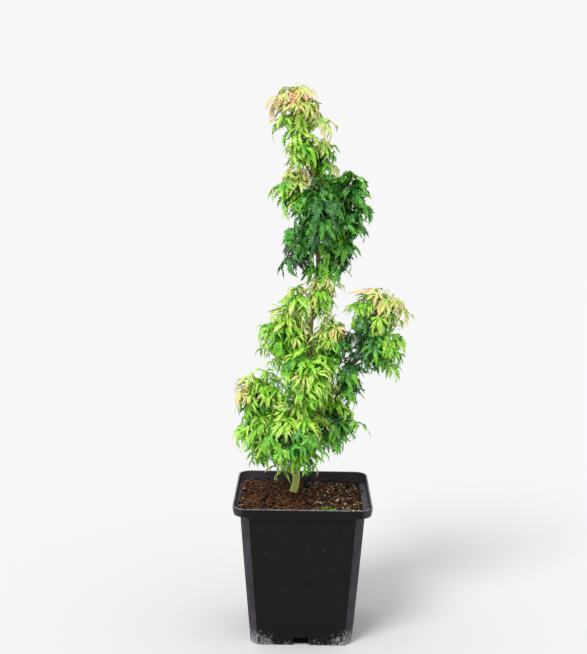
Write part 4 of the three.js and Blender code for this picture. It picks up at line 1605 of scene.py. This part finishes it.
def grow_shoots(root, index, limbs, space, rods, random):
    """The main shoot and the side shoots that the solids have, then finer ones between them."""
    start, direction, radius = root_of(root, limbs, space)
    crest = space.centre + UP * (0.55 * space.radii.z)
    bend = start + direction * (0.5 * (crest - start).length)
    main = Limb(Arc(start, crest, bend=bend), taper(radius, 0.45))
    shoots = [main]
    for k in range(SIDE_SHOOTS + FINE_SHOOTS):
        fine = k >= SIDE_SHOOTS
        count = FINE_SHOOTS if fine else SIDE_SHOOTS
        order = k - SIDE_SHOOTS + 0.5 if fine else k
        base = main.curve.at(0.2 + 0.7 * (order + 0.5) / (count + fine))
        for attempt in range(8):
            azimuth = (k + attempt * 0.3) * GOLDEN_ANGLE + index
            rise = lerp(-0.6, 0.5, (order + random()) / count)
            aim = Vector((math.cos(azimuth), math.sin(azimuth), rise)).normalized()
            spread = Vector(aim[i] * space.radii[i] for i in range(3))
            end = space.centre + spread * (0.66 - 0.04 * attempt)
            curve = Arc(base, end, 0.2 * (end - base).length)
            if runs_clear(curve, 0.8, space, rods):
                shoots.append(Limb(curve, taper(0.55 if fine else 0.75, 0.34)))
                break
    return shoots


def leaf_frame(place, space, size, random):
    """A leaf's hub and axes: it faces out from its mass and hangs, more so the lower it is."""
    low = 0.5 - 0.5 * (place.z - space.centre.z) / space.radii.z
    pitch = math.radians(lerp(30, -76, low * 0.5 + 0.5 * random()))
    heading = place - space.centre
    heading.z = 0
    if heading.length < 2:
        heading = Vector((random() - 0.5, random() - 0.5, 0))
    heading.rotate(Quaternion(UP, 1.5 * (random() - 0.5)))
    forward = heading.normalized() * math.cos(pitch) + UP * math.sin(pitch)
    normal = (UP - forward * forward.z).normalized()
    normal.rotate(Quaternion(forward, 1.0 * (random() - 0.5)))
    return place - forward * (0.4 * size), forward, normal


def leaf_tips(hub, forward, normal, size):
    """Where the leaf's middle and side lobes end, near enough."""
    side = normal.cross(forward)
    tips = []
    for turn, share in TRIED_LOBES:
        a = math.radians(turn)
        aim = forward * math.cos(a) + side * math.sin(a)
        tips.append(hub + aim * (size * share) - normal * (0.35 * size))
    return tips


def is_behind(node, hub, forward):
    """Whether a node is within reach of a leaf's stalk, and not in front of the leaf."""
    away = node - hub
    return STALK[0] < away.length < STALK[1] and away.dot(forward) < 1


def fine_twig(hub, nodes, space, rods, random, swell):
    """A twig from the nearest node that stops a stalk's length short of a leaf out of reach."""
    for node in sorted(nodes, key=lambda n: (n - hub).length)[:4]:
        away = (hub - node).length
        if not TWIG_START[0] < away < TWIG_START[1]:
            continue
        end = node.lerp(hub, 1 - random.between(*TWIG_END) / away)
        curve = Arc(node, end, random.between(0.05, 0.2) * away)
        if runs_clear(curve, 0.3, space, rods, 6.0, swell):
            return Limb(curve, taper(0.38, 0.25))
    return None


def blush_at(place):
    """How much younger the leaves are at a place near the front."""
    if place.y > 8:
        return 0
    return sum(
        strength * math.exp(-((place.x - x) ** 2 + (place.z - z) ** 2) / BLUSH_REACH**2)
        for (x, z), strength in BLUSHES
    )


def is_open(place):
    return any(math.hypot(place.x - x, place.z - z) < radius for x, z, radius in OPENINGS)


def in_box(place):
    """Whether a leaf's end is within the solids' box, or stands out of it by no more than PROUD."""
    low, high = CAD_BOX
    return all(low[k] / MM - PROUD < place[k] < high[k] / MM + PROUD for k in range(3))


def leaf_places(name, index, space, random):
    """Where leaves may stand: (place, how far apart, length, how far out of its mass, swell).

    The first two are shares of the mass's leaf length. The swell is how much its space may grow.
    """
    for x, z in SPRAYS.get(name, []):
        for y in SPRAY_DEPTHS:
            yield Vector((x, y, z)), 0.25, SPRAY_LENGTH, 0.8, 1.3
    for i in range(len(SPACINGS) * TRIES):
        apart, share = SPACINGS[i // TRIES]
        rise = lerp(1, -1, (i * SPREAD[0] + 0.05 * random()) % 1)
        flat = math.sqrt(max(0, 1 - rise**2))
        turn = math.tau * i * SPREAD[1]
        aim = Vector((flat * math.cos(turn), flat * math.sin(turn), rise))
        shell = lerp(0.15, 0.82, ((i * SPREAD[2]) % 1) ** 0.5)
        tufted = 0.94 + 0.36 * noise.noise(aim * 1.9 + Vector((7 * index, 0, 0)))
        place = space.centre + aim * (shell * tufted * space.reach(aim, 6.0))
        yield place, apart, share, shell, 1.0


def has_room(hub, tips, space, rods, swell):
    """Whether a leaf stays with its mass and in the box, clear of the limbs."""
    if not space.holds(hub, 8.0, swell):
        return False
    if not all(space.holds(tip, 10.0, 2 * swell - 0.95) and in_box(tip) for tip in tips):
        return False
    return not any(touches(hub, tip, 0.1, rods) for tip in tips)


def leaf_age(age, place, space, shell, random):
    """How old a leaf looks: older low down, and darker deep in its mass as painted shade, give or take a little."""
    height = (place.z - space.centre.z) / space.radii.z
    # Painted shade: the deeper a leaf stands in its mass, the darker its tint, more so in older masses.
    depth = lerp(0.1, 0.8, age) * (0.68 - shell)
    return age - 0.07 * height + depth + 0.22 * (random() - 0.5)


def grow_mass(name, index, limbs, spaces, rods, middles, density):
    """Shoots and leaves of one mass. A leaf is (node, hub, forward, normal, length, age), its age holding painted
    shade too.

    It keeps off the middles of the leaves so far, so that no two stand in one place.
    """
    root, _, _, largest, age = MASSES[name]
    random = Seeded(100 + index)
    space = spaces[index]
    shoots = grow_shoots(root, index, limbs, space, rods, random)
    nodes = [shoot.curve.at(t) for shoot in shoots for t in NODE_SHARES]
    leaves = []
    middles = [m for m in middles if space.holds(m, 12, 1.4)]
    for place, apart, share, shell, swell in leaf_places(name, index, space, random):
        size = largest * share * random.between(0.8, 1.2)
        if any((place - other).length < apart / density * largest for other in middles):
            continue
        for _ in range(LEAF_TURNS):
            hub, forward, normal = leaf_frame(place, space, size, random)
            if is_open(hub + forward * (0.6 * size)):
                continue
            if not has_room(hub, leaf_tips(hub, forward, normal, size), space, rods, swell):
                continue
            near = [n for n in nodes if is_behind(n, hub, forward)]
            if not near:
                twig = fine_twig(hub, nodes, space, rods, random, swell)
                if not twig:
                    continue
                shoots.append(twig)
                nodes += [twig.curve.at(t) for t in (0.55, 0.8, 1)]
                near = [nodes[-1]]
            node = min(near, key=lambda n: (n - hub).length + 4 * random())
            old = leaf_age(age, place, space, shell, random)
            old += 0.26 * noise.noise(hub * 0.05) - blush_at(hub + forward * (0.5 * size))
            leaves.append((node, hub, forward, normal, size, old))
            middles.append(place)
            break
    return shoots, leaves


# ---------------------------------------------------------------- leaf templates

# The lobes of a leaf: degrees from the middle one and share of its length.
LOBES = ((-104, 0.4), (-66, 0.72), (-32, 0.93), (0, 1.0), (32, 0.93), (66, 0.72), (104, 0.4))

# How wide a lobe is along its length, as a share of its greatest width.
WIDTHS = (
    (0, 0.2),
    (0.1, 0.42),
    (0.26, 0.8),
    (0.42, 1.0),
    (0.6, 0.84),
    (0.78, 0.5),
    (0.9, 0.22),
    (1, 0.0),
)

# Where the points across a lobe stand, from edge to edge.
FINE, PLAIN = (-1, -0.5, 0, 0.5, 1), (-1, 0, 1)

# Each kind of leaf: rows along a lobe, half its width, the points across it and each leaf's bend.
BROAD, NARROW, FEATHERY = range(3)
KINDS = (
    (20, 0.084, FINE, (1.0, 1.3, 1.5, 1.8, 2.1, 1.2)),
    (18, 0.066, PLAIN, (1.1, 1.4, 1.6, 1.8, 2.0, 2.2)),
    (20, 0.05, PLAIN, (1.0, 1.3, 1.6, 1.9)),
)


def table_value(table, x):
    for (x0, y0), (x1, y1) in zip(table, table[1:]):
        if x <= x1:
            return lerp(y0, y1, (x - x0) / (x1 - x0))
    return table[-1][1]


def add_lobe(into, random, angle, reach, bend, rows, width, ways):
    """One lobe: a pointed, toothed blade that droops, with a fold along its rib and wavy edges."""
    verts, faces, shifts = into
    turn = math.radians(angle)
    sickle = random.between(-0.5, 0.5)
    twist = random.between(-1.1, 1.1)
    fold = random.between(-0.8, 0.4)
    wave = random.between(0.3, 0.7)
    phase = random.between(0, math.tau)
    droop = random.between(-0.6, 0.0)
    lightened = random.between(0.35, 0.8)
    point = Vector((0, 0, 0))
    start = len(verts)
    for k in range(rows + 1):
        s = k / rows
        heading = turn + sickle * s
        radial = Vector((math.cos(heading), math.sin(heading), 0))
        tilt = droop + bend * s + 0.2 * math.sin(phase + 11 * s)
        tangent = radial * math.cos(tilt) - UP * math.sin(tilt)
        if k:
            point = point + tangent * (reach / rows)
        side = Vector((-math.sin(heading), math.cos(heading), 0))
        side.rotate(Quaternion(tangent, twist * s))
        normal = tangent.cross(side)
        half = width * table_value(WIDTHS, s)
        tooth = (0.75 if k % 2 else -0.3) * smoothstep(0.08, 0.25, s)
        jut = tangent * ((0.9 if k % 2 else -0.25) * (1 - smoothstep(0.7, 0.94, s)) * reach / rows)
        for way in ways:
            edge = abs(way) == 1
            out = half * way * (1 + (tooth if edge else 0))
            ripple = wave * half * math.sin(phase + 15 * s + (1.7 if way > 0 else 0)) * abs(way)
            spot = point + side * out + normal * (fold * abs(out) + ripple)
            verts.append(spot + (jut if edge and 0 < s < 1 else Vector()))
    n = len(ways)
    for k in range(rows):
        for i in range(n - 1):
            a = start + n * k + i
            faces.append((a, a + n, a + n + 1, a + 1))
            outer = n == 3 or i in (0, 3)
            young = (outer and k / rows > lightened) or k / rows > 0.8
            shifts.append(-1 if young else int(k < rows / 4))


def leaf_mesh(name, random, rows, bend, width, ways):
    """A seven-lobed leaf of unit length: +X along the middle lobe, +Z up out of the blade.

    Its shift attribute makes the teeth near the tips one tint younger and the heart one older.
    """
    verts, faces, shifts = [], [], []
    for angle, reach in LOBES:
        small = reach < 0.5
        add_lobe(
            (verts, faces, shifts),
            random,
            angle + random.between(-6, 6),
            reach * random.between(0.88, 1.1),
            bend * random.between(0.7, 1.3) * (0.7 if small else 1),
            rows * 2 // 3 if small else rows,
            width * (0.62 if small else 1) * random.between(0.88, 1.12),
            ways,
        )
    mesh = mesh_of(name, verts, faces)
    mesh.attributes.new("shift", "INT", "FACE").data.foreach_set("value", shifts)
    return mesh


def leaf_templates():
    """Broad leaves for old wood, narrow ones and feathery young ones, arched and hanging."""
    random = Seeded(5)
    made = []
    for rows, width, ways, bends in KINDS:
        for bend in bends:
            made.append(leaf_mesh("leaf", random, rows, bend, width, ways))
    return made


def template_number(kind, chance):
    """The number of one of a kind's templates, for a chance from 0 to 1."""
    first = sum(len(bends) for _, _, _, bends in KINDS[:kind])
    return first + int(chance * len(KINDS[kind][3]))


def turn_of(forward, normal):
    side = normal.cross(forward)
    return Matrix((forward, side, normal)).transposed().to_quaternion()


# ---------------------------------------------------------------- the foliage

# How much longer or shorter than its length a leaf may come out, as a share.
LEAF_VARIATION = 0.06


def leaf_tints(settings):
    """The leaf materials, from the youngest to the oldest, and last the painted shade green."""
    tints = []
    for k in range(TINTS):
        tint = getattr(settings, f"tint_{k}")
        tints.append(leaf_material(f"Maple leaf {k}", tint, k / (TINTS - 1)))
    return tints


def leaf_points(index, age, leaves):
    """The scatter's points for a mass's leaves. Old leaves are broad only in an old mass."""
    pick = Seeded(900 + index)
    points = []
    for _, hub, forward, normal, size, old in leaves:
        tint = min(max(int(old * TINTS_BY_AGE), 0), TINTS - 1)
        grown = BROAD if age > 0.7 else NARROW
        template = template_number(grown if tint > 3 else FEATHERY, pick())
        points.append((hub, turn_of(forward, normal), size, template, tint))
    return points


def add_stalk(into, node, hub):
    """A leaf's stalk, bowed a little upward."""
    bow = node.lerp(hub, 0.5) + UP * (0.12 * (hub - node).length)
    stem = Arc(node, hub, bend=bow)
    add_tube(into, [stem.at(k / 5) for k in range(6)], taper(0.34, 0.22), 5)


def build_foliage(settings, wood, limbs):
    """The leaves of each mass in one piece, and all the twigs and all the stalks in two more."""
    tints = leaf_tints(settings)
    twig_bark = crumb_material("Twig bark", wood.twig, 0.65, 0.12)
    stalk_skin = crumb_material("Leaf stalk", wood.stalk, 0.5, 0.05)
    group = scatter_group("Leaves", tints, "tint")
    templates = template_collection("leaf", leaf_templates())
    spaces = [Space(centre, radii) for _, centre, radii, _, _ in MASSES.values()]
    for space in spaces:
        space.meet(spaces)
    rods = [rod for limb in limbs.values() for rod in rods_of(limb, 24)]
    slots = {s["node"]: s["material_slot"] for s in frame["record"]["subparts"]}
    twigs, stalks = ([], []), ([], [])
    taken = []
    for index, name in enumerate(MASSES):
        shoots, leaves = grow_mass(name, index, limbs, spaces, rods, taken, settings.leaves)
        for shoot in shoots:
            add_tube(twigs, [shoot.curve.at(k / 12) for k in range(13)], shoot.radius, 6)
        for node, hub, forward, _, size, _ in leaves:
            taken.append(hub.lerp(hub + forward * size, 0.4))
            add_stalk(stalks, node, hub)
        points = leaf_points(index, MASSES[name][4], leaves)
        title = name.replace("leaves_", "foliage_")
        seed = settings.seed
        blades = scatter(title, group, templates, points, "tint", LEAF_VARIATION, seed)
        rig.ride(blades, "root")
        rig.replaces(blades, name)
        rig.slot(blades, slots[name])
    drop_collection(templates)
    for title, mesh, material in (("twigs", twigs, twig_bark), ("leaf_stalks", stalks, stalk_skin)):
        piece = new_object(title, *mesh, 180)
        piece.data.materials.append(material)
        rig.ride(piece, "root")
        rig.slot(piece, "bark")


# ---------------------------------------------------------------- stage

# Half the floor's width in millimetres, and the main light's place and its width in degrees.
FLOOR_REACH = 40000
KEY_PLACE = (-0.55, -0.8, 1.1)
KEY_SOFTNESS = 24


def build_stage(stage):
    r = FLOOR_REACH
    floor = new_object("floor", [(-r, -r, 0), (r, -r, 0), (r, r, 0), (-r, r, 0)], [(0, 1, 2, 3)])
    material, _, _ = new_material("Plain floor", stage.floor, 1.0, 0.0)
    floor.data.materials.append(material)
    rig.stage(floor)
    add_world(stage)
    bpy.context.scene.view_settings.view_transform = "Standard"
    bpy.context.scene.view_settings.look = "None"
    add_key(stage)
    add_camera(stage)


def add_world(stage):
    world = bpy.data.worlds.new("Backdrop")
    world.use_nodes = True
    world.node_tree.nodes["Background"].inputs["Color"].default_value = (*stage.backdrop, 1)
    bpy.context.scene.world = world


def add_key(stage):
    """A soft sun from the upper left of the front."""
    lamp = bpy.data.lights.new("Key", "SUN")
    lamp.energy, lamp.angle = stage.key, math.radians(KEY_SOFTNESS)
    key = bpy.data.objects.new("Key", lamp)
    back = Vector(KEY_PLACE).normalized()
    turn = back.to_track_quat("Z", "Y").to_matrix().to_4x4()
    key.matrix_world = Matrix.Translation(KEY_PLACE) @ turn
    bpy.context.scene.collection.objects.link(key)


def add_camera(stage):
    lens = bpy.data.cameras.new("Camera")
    lens.lens, lens.sensor_width = stage.focal_mm, 36
    camera = bpy.data.objects.new("Camera", lens)
    pitch, yaw, roll = stage.pitch, stage.yaw, stage.roll
    level = math.cos(pitch)
    forward = Vector((math.sin(yaw) * level, math.cos(yaw) * level, -math.sin(pitch)))
    right = forward.cross(UP).normalized()
    upward = right.cross(forward)
    turned_right = right * math.cos(roll) + upward * math.sin(roll)
    turned_up = upward * math.cos(roll) - right * math.sin(roll)
    axes = Matrix((turned_right, turned_up, -forward)).transposed().to_4x4()
    camera.matrix_world = Matrix.Translation((stage.offset, -stage.distance, stage.height)) @ axes
    bpy.context.scene.collection.objects.link(camera)
    bpy.context.scene.camera = camera


# ---------------------------------------------------------------- operators and panel


def run(operator, work):
    """Runs a builder and raises a plain error in the operator's name if it can't finish."""
    try:
        work()
    except Exception as problem:
        raise RuntimeError(f"{operator.bl_label} could not be built: {problem}") from problem
    return {"FINISHED"}


class MAPLE_OT_pot(bpy.types.Operator):
    """Build the square nursery pot"""

    bl_idname = "maple.pot"
    bl_label = "Pot"

    def execute(self, context):
        return run(self, lambda: build_pot(context.scene.maple_pot))


class MAPLE_OT_compost(bpy.types.Operator):
    """Build the compost and what lies on it"""

    bl_idname = "maple.compost"
    bl_label = "Compost"

    def execute(self, context):
        scene = context.scene
        return run(self, lambda: build_compost(scene.maple_compost, scene.maple_pot))


class MAPLE_OT_limbs(bpy.types.Operator):
    """Build the trunk and the boughs with their bark"""

    bl_idname = "maple.limbs"
    bl_label = "Trunk and boughs"

    def execute(self, context):
        return run(self, lambda: build_limbs(context.scene.maple_wood, grow_limbs()))


class MAPLE_OT_foliage(bpy.types.Operator):
    """Grow the twigs, the leaf stalks and the leaves of every mass"""

    bl_idname = "maple.foliage"
    bl_label = "Foliage"

    def execute(self, context):
        scene = context.scene
        return run(self, lambda: build_foliage(scene.maple_foliage, scene.maple_wood, grow_limbs()))


class MAPLE_OT_stage(bpy.types.Operator):
    """Set the floor, the light and the camera"""

    bl_idname = "maple.stage"
    bl_label = "Stage"

    def execute(self, context):
        return run(self, lambda: build_stage(context.scene.maple_stage))


class MAPLE_PT_panel(bpy.types.Panel):
    """Settings and buttons for the potted maple"""

    bl_idname = "MAPLE_PT_panel"
    bl_label = "Potted Maple"
    bl_space_type = "VIEW_3D"
    bl_region_type = "UI"
    bl_category = "Maple"

    def draw(self, context):
        for name, operator in PARTS:
            box = self.layout.box()
            settings = getattr(context.scene, name)
            for key in settings.__annotations__:
                box.prop(settings, key)
            box.operator(operator)


PARTS = [
    ("maple_pot", "maple.pot"),
    ("maple_compost", "maple.compost"),
    ("maple_wood", "maple.limbs"),
    ("maple_foliage", "maple.foliage"),
    ("maple_stage", "maple.stage"),
]
GROUPS = {
    "maple_pot": PotSettings,
    "maple_compost": CompostSettings,
    "maple_wood": WoodSettings,
    "maple_foliage": FoliageSettings,
    "maple_stage": StageSettings,
}
CLASSES = [
    *GROUPS.values(),
    MAPLE_OT_pot,
    MAPLE_OT_compost,
    MAPLE_OT_limbs,
    MAPLE_OT_foliage,
    MAPLE_OT_stage,
    MAPLE_PT_panel,
]


def register():
    for cls in CLASSES:
        bpy.utils.register_class(cls)
    for name, group in GROUPS.items():
        setattr(bpy.types.Scene, name, bpy.props.PointerProperty(type=group))


def unregister():
    for name in GROUPS:
        delattr(bpy.types.Scene, name)
    for cls in reversed(CLASSES):
        bpy.utils.unregister_class(cls)


def main():
    register()
    bpy.ops.maple.pot()
    bpy.ops.maple.compost()
    bpy.ops.maple.limbs()
    bpy.ops.maple.foliage()
    bpy.ops.maple.stage()
    bpy.context.view_layer.update()
    boxes = {"cad": [list(c) for c in CAD_BOX], "visual": [list(c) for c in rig.bounds()]}
    with open("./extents.json", "w") as file:
        json.dump(boxes, file)


if __name__ == "__main__":
    main()
